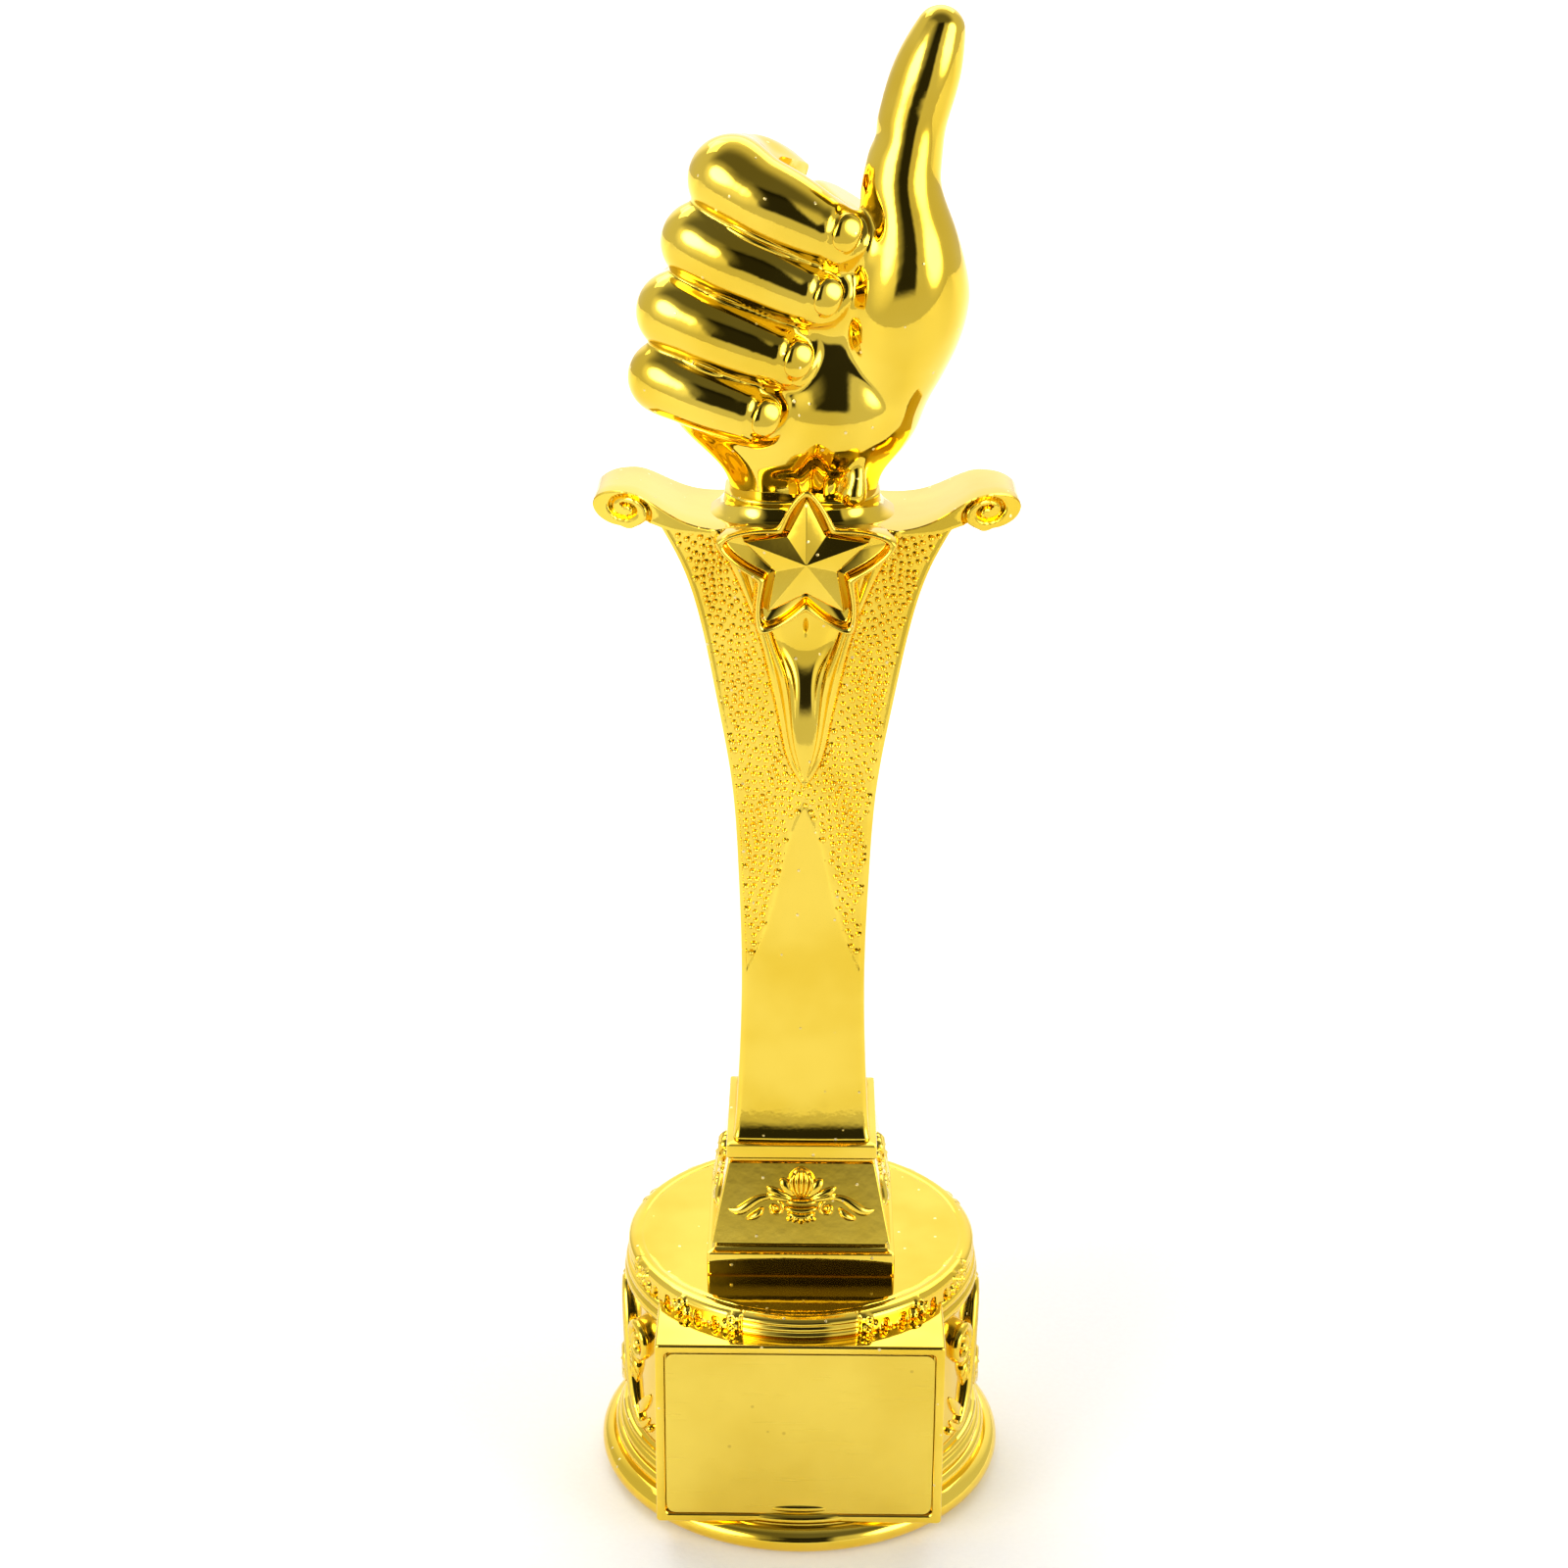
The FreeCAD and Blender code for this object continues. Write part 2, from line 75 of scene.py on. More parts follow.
# ---- curves
def curve(knots):
    """A smooth curve through (place, value) knots, as a function of arrays."""
    xs, ys = np.array(knots, float).T
    n, h = len(xs), np.diff(xs)
    system, right = np.eye(n), np.zeros(n)
    for i in range(1, n - 1):
        system[i, i - 1:i + 2] = h[i - 1], 2 * (h[i - 1] + h[i]), h[i]
        right[i] = 6 * ((ys[i + 1] - ys[i]) / h[i] - (ys[i] - ys[i - 1]) / h[i - 1])
    bend = np.linalg.solve(system, right)

    def value(at):
        at = np.clip(np.asarray(at, float), xs[0], xs[-1])
        i = np.clip(np.searchsorted(xs, at) - 1, 0, n - 2)
        a, b = (xs[i + 1] - at) / h[i], (at - xs[i]) / h[i]
        cubic = ((a ** 3 - a) * bend[i] + (b ** 3 - b) * bend[i + 1]) * h[i] ** 2 / 6
        return a * ys[i] + b * ys[i + 1] + cubic
    return value


def path(points):
    """A smooth path through points, as a function of shares from 0 to 1."""
    points = np.array(points, float)
    steps = np.linspace(0, 1, len(points))
    axes = [curve(list(zip(steps, axis))) for axis in points.T]
    return lambda t: np.stack([axis(t) for axis in axes], axis=-1)


def step_between(low, high, at):
    t = np.clip((at - low) / (high - low), 0, 1)
    return t * t * (3 - 2 * t)


# ---- meshes
def surface(bm, us, vs, place):
    """A grid whose corners go to place(u, v), for arrays u and v; returns its vertices."""
    made = bmesh.ops.create_grid(bm, x_segments=len(us) - 1, y_segments=len(vs) - 1, size=0.5)["verts"]
    flat = np.array([vert.co[:2] for vert in made]) + 0.5
    i = np.rint(flat[:, 0] * (len(us) - 1)).astype(int)
    j = np.rint(flat[:, 1] * (len(vs) - 1)).astype(int)
    for vert, point in zip(made, np.stack(place(np.asarray(us)[i], np.asarray(vs)[j]), axis=-1)):
        vert.co = point
    return made


def piece(name, bm, finish, sharp=35.0, merge=1e-4, replaces=()):
    bmesh.ops.remove_doubles(bm, verts=bm.verts, dist=merge)
    bmesh.ops.recalc_face_normals(bm, faces=bm.faces)
    bmesh.ops.scale(bm, vec=(MM, MM, MM), verts=bm.verts)
    mesh = bpy.data.meshes.new(name)
    bm.to_mesh(mesh)
    bm.free()
    return finished(name, mesh, finish, sharp, replaces)


def finished(name, mesh, finish, sharp, replaces):
    mesh.shade_smooth()
    if sharp:
        mesh.set_sharp_from_angle(angle=math.radians(sharp))
    mesh.materials.clear()
    mesh.materials.append(finish)
    made = bpy.data.objects.new(name, mesh)
    bpy.context.scene.collection.objects.link(made)
    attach(made, "root")
    if replaces:
        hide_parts(*replaces)
    return made


# A rounded rectangle's corners, each as its side of x, its side of y and the turn that its arc starts at.
QUARTERS = [(1, -1, -90), (1, 1, 0), (-1, 1, 90), (-1, -1, 180)]


def rounded_ring(corner_steps=5):
    """The us of a ring round a rounded rectangle, and the function that places them."""
    marks = []
    for number, (_, _, start) in enumerate(QUARTERS):
        marks += [number * 100 + 90 * k / corner_steps for k in range(corner_steps + 1)]
    marks.append(400)

    def place(u, half_x, half_y, corner):
        number = (u // 100).astype(int) % 4
        side_x = np.array([q[0] for q in QUARTERS])[number]
        side_y = np.array([q[1] for q in QUARTERS])[number]
        turn = np.radians(np.array([q[2] for q in QUARTERS])[number] + np.where(u >= 400, 0, u % 100))
        return (side_x * (half_x - corner) + corner * np.cos(turn),
                side_y * (half_y - corner) + corner * np.sin(turn))
    return np.array(marks, float), place


def ringed(bm, rings, to_space, corner_steps=5):
    """A closed body from rings of (half x, half y, corner, level); it ends in a point at each end."""
    us, place = rounded_ring(corner_steps)
    first, last = rings[0], rings[-1]
    rings = [(0, 0, 0, first[3])] + list(rings) + [(0, 0, 0, last[3])]
    table = np.array(rings, float)

    def spot(u, v):
        row = table[v.astype(int)]
        x, y = place(u, row[:, 0], row[:, 1], row[:, 2])
        return to_space(x, y, row[:, 3])
    return surface(bm, us, np.arange(len(rings)), spot)


def turned(name, profile, finish, steps=160, sharp=35.0, replaces=()):
    """A body turned round the vertical axis from a profile of (radius, z)."""
    bm = bmesh.new()
    verts = [bm.verts.new((r, 0, z)) for r, z in profile]
    edges = [bm.edges.new(pair) for pair in zip(verts, verts[1:])]
    bmesh.ops.spin(bm, geom=verts + edges, axis=(0, 0, 1), cent=(0, 0, 0), steps=steps,
                   angle=2 * math.pi, use_merge=True)
    return piece(name, bm, finish, sharp=sharp, replaces=replaces)


def arc(centre, radius, start, end, steps):
    """Points of an arc in a profile, in degrees."""
    turns = np.radians(np.linspace(start, end, steps + 1))
    return [(centre[0] + radius * math.cos(t), centre[1] + radius * math.sin(t)) for t in turns]


def stroke(bm, line, wide, high, to_space, sections=14, sides=8, groove=0.0):
    """A raised, tapering stroke of an ornament along a flat line; it is closed and half sunk."""
    line = path(line)
    width, height = curve(wide), curve(high)

    def place(u, v):
        t = np.clip(v, 0, 1)
        middle = line(t)
        ahead = line(np.clip(t + 0.01, 0, 1)) - line(np.clip(t - 0.01, 0, 1))
        ahead /= np.maximum(np.linalg.norm(ahead, axis=-1, keepdims=True), 1e-9)
        across = np.stack([-ahead[:, 1], ahead[:, 0]], axis=-1)
        end = np.sqrt(np.clip(1 - (2 * t - 1) ** 6, 0, 1))
        turn = u * 2 * np.pi
        out = np.cos(turn) * width(t) * end
        rise = np.sin(turn) * height(t) * end * (1 - groove * np.exp(-(np.cos(turn) / 0.3) ** 2))
        spot = middle + across * out[:, None]
        return to_space(spot[:, 0], spot[:, 1], rise)
    surface(bm, np.linspace(0, 1, sides + 1), np.linspace(0, 1, sections + 1), place)


def bead(bm, x, y, size, high, to_space):
    stroke(bm, [(x - size, y), (x, y), (x + size, y)], [(0, size * 0.4), (0.5, size), (1, size * 0.4)],
           [(0, high * 0.5), (0.5, high), (1, high * 0.5)], to_space, sections=8)


def curl(bm, x, y, radius, turns, start, thick, high, to_space, hand=1):
    """A spiral that winds in to a bead."""
    points = []
    for k in range(10):
        t = k / 9
        angle = math.radians(start) + hand * t * turns * 2 * math.pi
        points.append((x + radius * (1 - 0.72 * t) * math.cos(angle),
                       y + radius * (1 - 0.72 * t) * math.sin(angle)))
    stroke(bm, points, [(0, thick), (0.6, thick * 0.8), (1, thick * 0.9)], [(0, high), (1, high)],
           to_space, sections=26)


# ---- finishes
class Field:
    """A socket's value; sums and products with it add the nodes that work them out."""

    def __init__(self, shader, socket):
        self.shader, self.socket = shader, socket

    def _with(self, operation, first, second):
        node = self.shader.node("ShaderNodeMath", {"operation": operation}, {0: first, 1: second})
        return Field(self.shader, node.outputs[0])

    def __add__(self, other): return self._with("ADD", self, other)
    def __radd__(self, other): return self._with("ADD", other, self)
    def __sub__(self, other): return self._with("SUBTRACT", self, other)
    def __rsub__(self, other): return self._with("SUBTRACT", other, self)
    def __mul__(self, other): return self._with("MULTIPLY", self, other)
    def __rmul__(self, other): return self._with("MULTIPLY", other, self)
    def at_least(self, other): return self._with("MAXIMUM", self, other)
    def at_most(self, other): return self._with("MINIMUM", self, other)

    def between(self, low, high):
        """0 below low, 1 above high, and smooth between them."""
        node = self.shader.node("ShaderNodeMapRange", {"interpolation_type": "SMOOTHSTEP"},
                                {"Value": self, "From Min": low, "From Max": high})
        return Field(self.shader, node.outputs[0])


class Shader:
    """The node tree of a finish or of the world."""

    def __init__(self, tree):
        self.tree = tree
        tree.nodes.clear()

    def node(self, kind, settings=None, inputs=None):
        made = self.tree.nodes.new(kind)
        for name, value in (settings or {}).items():
            setattr(made, name, value)
        for name, value in (inputs or {}).items():
            socket = made.inputs[name]
            if isinstance(value, Field):
                self.tree.links.new(value.socket, socket)
            elif isinstance(value, bpy.types.NodeSocket):
                self.tree.links.new(value, socket)
            else:
                socket.default_value = value
        return made

    def field(self, kind, settings=None, inputs=None, output=0):
        return Field(self, self.node(kind, settings, inputs).outputs[output])

    def noise(self, where, scale, detail=3.0, roughness=0.5):
        return self.field("ShaderNodeTexNoise", None, {"Vector": where, "Scale": scale, "Detail": detail,
                                                       "Roughness": roughness})

    def specks(self, where, scale, size):
        """1 in small round specks, 0 elsewhere."""
        far = self.field("ShaderNodeTexVoronoi", {"feature": "F1"}, {"Vector": where, "Scale": scale})
        return 1 - far.between(size, size * 1.6)

    def blend(self, share, first, second):
        node = self.node("ShaderNodeMix", {"data_type": "RGBA"}, {0: share, 6: first, 7: second})
        return node.outputs[2]

    def stretched(self, where, scale):
        return self.node("ShaderNodeMapping", None, {"Vector": where, "Scale": scale}).outputs[0]


def finish_start(name):
    material = bpy.data.materials.new(name)
    material.use_nodes = True
    shader = Shader(material.node_tree)
    where = shader.node("ShaderNodeTexCoord").outputs["Object"]
    return material, shader, where


def finish_end(shader, colour, roughness, height, depth, **constants):
    bump = shader.node("ShaderNodeBump", None, {"Height": height, "Strength": 1.0, "Distance": depth})
    inputs = {"Base Color": colour, "Roughness": roughness, "Normal": bump.outputs[0]}
    inputs.update({name.replace("_", " "): value for name, value in constants.items()})
    principled = shader.node("ShaderNodeBsdfPrincipled", None, inputs)
    shader.node("ShaderNodeOutputMaterial", None, {"Surface": principled.outputs[0]})


def rgb(r, g, b):
    return (r, g, b, 1.0)


def gold_plating(name, tone=1.0, peel=1.0, polish=0.055):
    """Vacuum-metallised plastic: a mirror with faint orange peel, haze and a few dust specks."""
    material, shader, where = finish_start(name)
    cloud = shader.noise(where, 38.0)
    haze = shader.noise(where, 160.0, detail=5.0, roughness=0.65).between(0.45, 0.8)
    dust = shader.specks(where, 260.0, 0.055)
    deep = rgb(0.86 * tone, 0.585 * tone, 0.048)
    pale = rgb(0.95 * tone, 0.69 * tone, 0.088)
    colour = shader.blend(cloud.between(0.35, 0.65), deep, pale)
    colour = shader.blend(dust * 0.75, colour, rgb(0.95, 0.80, 0.45))
    roughness = polish + haze * 0.05 + dust * 0.35
    height = shader.noise(where, 420.0, detail=2.0) * peel + dust * 2.0
    finish_end(shader, colour, roughness, height, 0.000012, Metallic=1.0)
    return material


def brushed_plate(name):
    """Thin gold sheet of the plaque: a soft, finely brushed reflection with a few scuffs."""
    material, shader, where = finish_start(name)
    grain = shader.noise(shader.stretched(where, (60.0, 60.0, 3200.0)), 1.0, detail=4.0)
    cloud = shader.noise(where, 45.0)
    scuff = shader.specks(where, 190.0, 0.05)
    colour = shader.blend(cloud.between(0.3, 0.7), rgb(0.83, 0.60, 0.075), rgb(0.90, 0.675, 0.10))
    colour = shader.blend(scuff * 0.6, colour, rgb(0.60, 0.40, 0.06))
    finish_end(shader, colour, 0.24 + grain * 0.10 + scuff * 0.2, grain + cloud * 2.0, 0.000015,
               Metallic=1.0)
    return material


def felt(name):
    material, shader, where = finish_start(name)
    fibre = shader.noise(shader.stretched(where, (1.0, 1.0, 4.0)), 2600.0, detail=6.0, roughness=0.7)
    cloud = shader.noise(where, 90.0)
    colour = shader.blend((fibre + cloud * 0.5).between(0.5, 1.0), rgb(0.012, 0.06, 0.03),
                          rgb(0.04, 0.15, 0.075))
    finish_end(shader, colour, 0.85 + fibre * 0.12, fibre, 0.0003, Sheen_Weight=0.4)
    return material


def moulded_plastic(name, dark, light, rough):
    material, shader, where = finish_start(name)
    grain = shader.noise(where, 1400.0, detail=3.0)
    cloud = shader.noise(where, 70.0)
    colour = shader.blend(cloud.between(0.3, 0.7), dark, light)
    finish_end(shader, colour, rough + grain * 0.15, grain, 0.00004)
    return material


def plain_metal(name, dark, light, rough, scale, depth):
    material, shader, where = finish_start(name)
    grain = shader.noise(where, scale, detail=6.0, roughness=0.65)
    cloud = shader.noise(where, scale * 0.1)
    colour = shader.blend((grain * 0.6 + cloud * 0.6).between(0.4, 0.8), dark, light)
    finish_end(shader, colour, rough + cloud * 0.25, grain, depth, Metallic=0.95)
    return material


def paper_floor(name):
    """White paper with a painted glow of its own, dim in front and brighter where it runs out of sight behind the
    object.
    """
    material, shader, where = finish_start(name)
    fibre = shader.noise(where, 900.0, detail=4.0)
    colour = shader.blend(fibre.between(0.2, 0.8), rgb(0.91, 0.91, 0.91), rgb(0.94, 0.94, 0.94))
    depth = shader.field("ShaderNodeSeparateXYZ", None, {0: where}, output=1)
    # Painted glow: the paper gives off light of its own as emission, rising from dim in front to brighter toward the
    # back.
    painted_glow = shader.blend(depth.between(0.0, 0.5), rgb(0.03, 0.03, 0.03), rgb(0.30, 0.30, 0.30))
    finish_end(shader, colour, 0.6 + fibre * 0.1, fibre, 0.00005, Emission_Color=painted_glow, Emission_Strength=1.0)
    return material


gold = gold_plating("gold_plating")
gold_cast = gold_plating("gold_plating_column", peel=2.2, polish=0.07)
gold_fine = gold_plating("gold_plating_relief", peel=0.5, polish=0.06)


def carried_over_finishes():
    """Finishes of the CAD nodes that stay as they are."""
    black = moulded_plastic("black_plastic", rgb(0.012, 0.012, 0.013), rgb(0.035, 0.035, 0.037), 0.38)
    tape = moulded_plastic("foam_tape", rgb(0.70, 0.70, 0.66), rgb(0.85, 0.85, 0.81), 0.8)
    zinc = plain_metal("zinc_steel", rgb(0.42, 0.43, 0.44), rgb(0.70, 0.71, 0.72), 0.18, 700.0, 0.00002)
    iron = plain_metal("cast_iron", rgb(0.06, 0.055, 0.05), rgb(0.19, 0.18, 0.175), 0.5, 500.0, 0.0002)
    return {"felt": felt("green_felt"), "black_plastic": black, "foam_tape": tape, "zinc_steel": zinc,
            "iron": iron, "gold_plate": brushed_plate("plaque_sheet"), "gold_plated_plastic": gold}


def finish_cad_nodes():
    finishes = carried_over_finishes()
    for part in frame["record"]["subparts"]:
        node = frame["nodes"].get(part["node"])
        if node is not None:
            node.data.materials.clear()
            node.data.materials.append(finishes[part["material_slot"]])


# ---- plinth
def outwards(radius):
    """Maps (degrees round from the front, z, rise) to the drum's face."""
    def to_space(turn, z, rise):
        angle = np.radians(turn)
        r = (radius(z) if callable(radius) else radius) + rise
        return r * np.sin(angle), -r * np.cos(angle), z
    return to_space


band_low, band_high = plinth_top - 4.2, plinth_top - 0.9
rim_radius = flange_radius - 6.0


def plinth_drum():
    low = plinth_bottom
    profile = [(0, low + 3), (flange_radius - 3.2, low + 3), (flange_radius - 2.8, low)]
    profile += arc((flange_radius - 2.4, low + 2.4), 2.4, -90, 62, 9)
    profile += [(flange_radius - 2.2, low + 4.9), (flange_radius - 2.9, low + 4.7)]
    profile += arc((flange_radius - 3.9, low + 6.0), 1.15, -40, 80, 6)
    profile += arc((flange_radius - 4.6, low + 8.1), 1.0, -60, 80, 6)
    profile += arc((flange_radius - 5.1, low + 10.1), 0.8, -60, 90, 5)
    foot, top = low + 11.4, plinth_top
    profile += [(drum_radius - 0.4, foot), (drum_radius - 0.3, foot + 1)]
    profile += [(drum_radius - 0.5, band_low - 5.0), (drum_radius - 0.2, band_low - 4.4)]
    profile += arc((drum_radius - 0.6, band_low - 3.4), 0.8, -70, 70, 5)
    profile += arc((drum_radius - 1.1, band_low - 1.4), 1.0, -70, 70, 5)
    profile += [(rim_radius - 1.7, band_low), (rim_radius - 1.6, band_low + 0.3)]
    profile += arc((rim_radius - 3.1, top - 1.6), 1.6, -8, 90, 8)
    profile += [(rim_radius - 4, top), (0, top)]
    drum = turned("plinth_drum", profile, gold, steps=216, sharp=28, replaces=("plinth_shell",))
    # The deck's edge is scalloped, except where a ribbed band interrupts it.
    scallops = 28
    for vert in drum.data.vertices:
        x, y, z = vert.co / MM
        rise = step_between(band_low - 0.5, band_high, z)
        radius = math.hypot(x, y)
        if rise > 0 and radius > rim_radius - 4:
            turn = math.atan2(x, -y)
            lobed = step_between(math.radians(14), math.radians(20), abs(wrapped(turn)))
            wave = 0.75 * (abs(math.cos((turn - math.pi / 4) * scallops / 2)) - 0.75) * lobed * rise
            wave *= step_between(rim_radius - 4, rim_radius - 1.5, radius)
            vert.co.x *= (radius + wave) / radius
            vert.co.y *= (radius + wave) / radius
    return drum


def wrapped(turn):
    """The turn from the nearest of the four ribbed bands."""
    quarter = math.pi / 2
    return (turn + quarter / 2) % quarter - quarter / 2


def rim_ornament():
    """Ribbed bands at the four quarters, with sunk arches and raised fleurs between them."""
    rim, top = rim_radius, plinth_top
    line = [(rim - 3.0, top - 0.3), (rim - 2.7, top + 0.03), (rim - 2.2, top + 0.06)]
    line += arc((rim - 1.55, top - 1.45), 1.5, 90, 0, 9)
    line += [(rim - 0.05, band_low + 0.3 + 0.25 * k) for k in range(9, -1, -1)]
    line += [(rim - 0.35, band_low), (rim - 1.0, band_low - 0.2), (rim - 2.4, band_low - 0.2), (rim - 3.0, top - 0.3)]
    line = np.array(line)

    def place(u, v):
        k = np.clip(np.rint(v).astype(int), 0, len(line) - 1)
        radius, z = line[k, 0], line[k, 1]
        turn = 360 * u
        quarter = np.abs((turn + 90) % 180 - 90)
        out = rim_relief(quarter, z - band_low) * step_between(rim - 2.4, rim - 1.2, radius)
        shrink = step_between(top - 1.0, top - 0.2, z) * 0.4
        away = radius + out * (1 - shrink)
        return (away * np.sin(np.radians(turn)), -away * np.cos(np.radians(turn)), z)
    bm = bmesh.new()
    surface(bm, np.linspace(0, 1, 1321), np.arange(len(line)), place)
    return piece("rim_ornament", bm, gold_fine, sharp=0)


def rim_relief(quarter, height):
    """Rise of the rim's relief, by degrees from the front or the back and by height above the band."""
    scale = math.radians(1.0) * rim_radius
    near = np.minimum(quarter, 90 - quarter)

    def off(turn, level):
        return np.hypot((quarter - turn) * scale, height - level)
    ribs = sum(np.sqrt(np.clip(1 - ((height - level) / 0.66) ** 2, 0, 1)) for level in (0.55, 1.95, 3.3))
    ribbed = step_between(19.0, 18.5, near)
    rise = ribbed * (0.62 * ribs - 0.42)
    rise = rise - 0.5 * np.exp(-((near - 19.4) / 0.45) ** 2)
    for turn in (28.3, 35.0, 48.6, 55.4):
        across = (quarter - turn) * scale
        edge = np.hypot(across, height - np.clip(height, -1.0, 1.45)) - 0.70
        rise = rise - 1.15 * step_between(0.18, -0.18, edge)
        rise = rise + 0.30 * np.exp(-((np.abs(across) - 1.15) / 0.42) ** 2 - ((height - 0.1) / 0.55) ** 2)
        rise = rise + 0.45 * np.exp(-(off(turn, 0.1) / 0.36) ** 2)
    for turn in (41.8, 62.0):
        rise = rise + 0.55 * np.exp(-((off(turn, 2.75) - 0.85) / 0.30) ** 2) - 0.25 * np.exp(-(off(turn, 2.75) / 0.4) ** 2)
        for side in (-1, 1):
            rise = rise + 0.55 * np.exp(-((off(turn + side * 1.9, 0.75) - 0.45) / 0.26) ** 2)
            rise = rise - 0.75 * np.exp(-(off(turn + side * 2.9, 1.75) / 0.42) ** 2)
        rise = rise - 0.85 * np.exp(-(off(turn, 0.3) / 0.40) ** 2)
    for turn in (22.2, 67.8):
        rise = rise + 0.5 * np.exp(-((off(turn, 2.8) - 0.75) / 0.28) ** 2)
        rise = rise + 0.5 * np.exp(-((off(turn, 0.9) - 0.65) / 0.28) ** 2)
        inward = turn + (2.3 if turn < 45 else -2.3)
        rise = rise - 0.8 * np.exp(-(off(inward, 1.8) / 0.40) ** 2) - 0.7 * np.exp(-(off(turn, 0.9) / 0.32) ** 2)
    return rise


def drum_relief():
    """Leafed scrolls round the drum, from one side of the plaque block round to the other."""
    bm = bmesh.new()
    degrees = math.degrees(1.0 / drum_radius)
    face = outwards(drum_radius - 0.35)
    low, high = plinth_bottom + 12.5, band_low - 5.2
    tall, middle = high - low, (high + low) / 2
    motifs = 6
    first, last = 54.0, 306.0
    pitch = (last - first) / motifs
    for k in range(motifs):
        turn = first + (k + 0.5) * pitch
        flip = 1 if k % 2 == 0 else -1

        def to_space(x, y, rise, turn=turn, flip=flip):
            return face(turn + flip * x * degrees, middle + y, rise)
        leafed_scroll(bm, tall, to_space)
    return piece("drum_relief", bm, gold_fine, sharp=0)


def leafed_scroll(bm, tall, to_space):
    """An S of thick stem with a rosette curl at each end and leaves in its bends."""
    half = tall / 2
    stem = [(-10.2, -half + 4.0), (-6.0, -half + 1.0), (-1.2, -half * 0.35), (1.2, half * 0.35),
            (6.0, half - 1.0), (10.2, half - 4.0)]
    stroke(bm, stem, [(0, 0.7), (0.5, 1.55), (1, 0.7)], [(0, 0.9), (0.5, 1.7), (1, 0.9)], to_space, 40,
           sides=12, groove=0.4)
    for way in (1, -1):
        def part(line):
            return [(way * x, way * y) for x, y in line]
        curl(bm, *part([(-6.3, half * 0.42)])[0], 4.6, 1.5, -60 if way == 1 else 120, 1.05, 1.5, to_space)
        bead(bm, *part([(-6.3, half * 0.42)])[0], 1.15, 1.7, to_space)
        for k in range(6):
            lean, reach = math.radians(6 + 27 * k), 7.0 - 0.45 * abs(k - 2.5)
            root = (-0.6 + 0.4 * k, 0.4 * k - 0.6)
            tip = (root[0] + reach * math.cos(lean), root[1] + reach * 0.86 * math.sin(lean))
            bend = ((root[0] + tip[0]) / 2 + 0.9, (root[1] + tip[1]) / 2 - 0.5)
            stroke(bm, part([root, bend, tip]), [(0, 0.6), (0.6, 1.45), (1, 0.25)],
                   [(0, 1.0), (0.6, 1.35), (1, 0.3)], to_space, 14, groove=0.55)
        stroke(bm, part([(3.6, half - 1.6), (7.4, half - 5.2), (10.6, half - 9.5)]),
               [(0, 0.4), (0.5, 1.3), (1, 0.3)], [(0, 0.6), (0.5, 1.2), (1, 0.4)], to_space, 16, groove=0.5)
        bead(bm, *part([(10.4, half - 1.6)])[0], 0.9, 1.1, to_space)


def plaque_block():
    """The block that carries the plate: a raised, softly bevelled frame round a sunk panel."""
    front = plate_front - 0.3
    low, high = plinth_bottom + 5.1, plinth_top - 4.3
    half_z, middle_z = (high - low) / 2, (high + low) / 2
    edge = 0.55

    rings = [(block_half, half_z, 0.7, -12.0), (block_half, half_z, 0.7, front + edge)]
    for k in range(1, 5):
        t = math.radians(22.5 * k)
        rings.append((block_half - edge * (1 - math.cos(t)), half_z - edge * (1 - math.cos(t)), 0.7,
                      front + edge * (1 - math.sin(t))))
    inner, inner_z = block_half - 1.45, half_z - 1.45
    rings += [(inner, inner_z, 0.9, front), (inner - 0.2, inner_z - 0.2, 0.9, front + 0.10),
              (inner - 0.35, inner_z - 0.35, 1.1, front + 0.40), (inner - 0.42, inner_z - 0.42, 1.2, front + 1.6)]
    bm = bmesh.new()
    ringed(bm, rings, lambda x, z, y: (x, y, z + middle_z))
    return piece("plaque_block", bm, gold, sharp=40)


# ---- pedestal
def pedestal_faces(z):
    """Half width of the pedestal's tapering body."""
    share = (z - pyramid_low) / (pyramid_high - pyramid_low)
    return slab_half - 0.75 - share * (slab_half - 0.75 - 14.05)


pyramid_low, pyramid_high = plinth_top + 6.9, plinth_top + 22.4


def pedestal():
    base = plinth_top
    slab = base + 4.9
    cap = pedestal_top - 3.25
    rings = [(slab_half - 0.35, slab_half - 0.35, 0.5, base - 0.5), (slab_half - 0.35, slab_half - 0.35, 0.5, base + 0.05),
             (slab_half, slab_half, 0.5, base + 0.4), (slab_half, slab_half, 0.5, slab - 0.6),
             (slab_half - 0.12, slab_half - 0.12, 0.5, slab - 0.2), (slab_half - 0.5, slab_half - 0.5, 0.5, slab),
             (slab_half - 0.9, slab_half - 0.9, 0.5, slab + 0.05), (slab_half - 1.35, slab_half - 1.35, 0.5, slab + 0.5),
             (slab_half - 1.40, slab_half - 1.40, 0.5, slab + 1.2), (slab_half - 1.15, slab_half - 1.15, 0.5, slab + 1.75),
             (slab_half - 0.75, slab_half - 0.75, 0.5, pyramid_low - 0.25)]
    rings += [(pedestal_faces(pyramid_low) - 0.05, pedestal_faces(pyramid_low) - 0.05, 0.5, pyramid_low),
              (14.05, 14.05, 0.45, pyramid_high - 0.2), (13.8, 13.8, 0.4, pyramid_high), (13.35, 13.35, 0.4, pyramid_high + 0.1),
              (13.3, 13.3, 0.4, cap - 0.1), (13.6, 13.6, 0.4, cap)]
    half = 14.36
    rings += [(half - 0.35, half - 0.35, 0.5, cap + 0.05), (half - 0.08, half - 0.08, 0.5, cap + 0.3),
              (half, half, 0.5, cap + 0.6), (half, half, 0.5, pedestal_top - 0.6),
              (half - 0.1, half - 0.1, 0.5, pedestal_top - 0.2), (half - 0.5, half - 0.5, 0.5, pedestal_top)]
    bm = bmesh.new()
    ringed(bm, rings, lambda x, y, z: (x, y, z))
    return piece("pedestal", bm, gold, sharp=32, replaces=("pedestal_shell",))


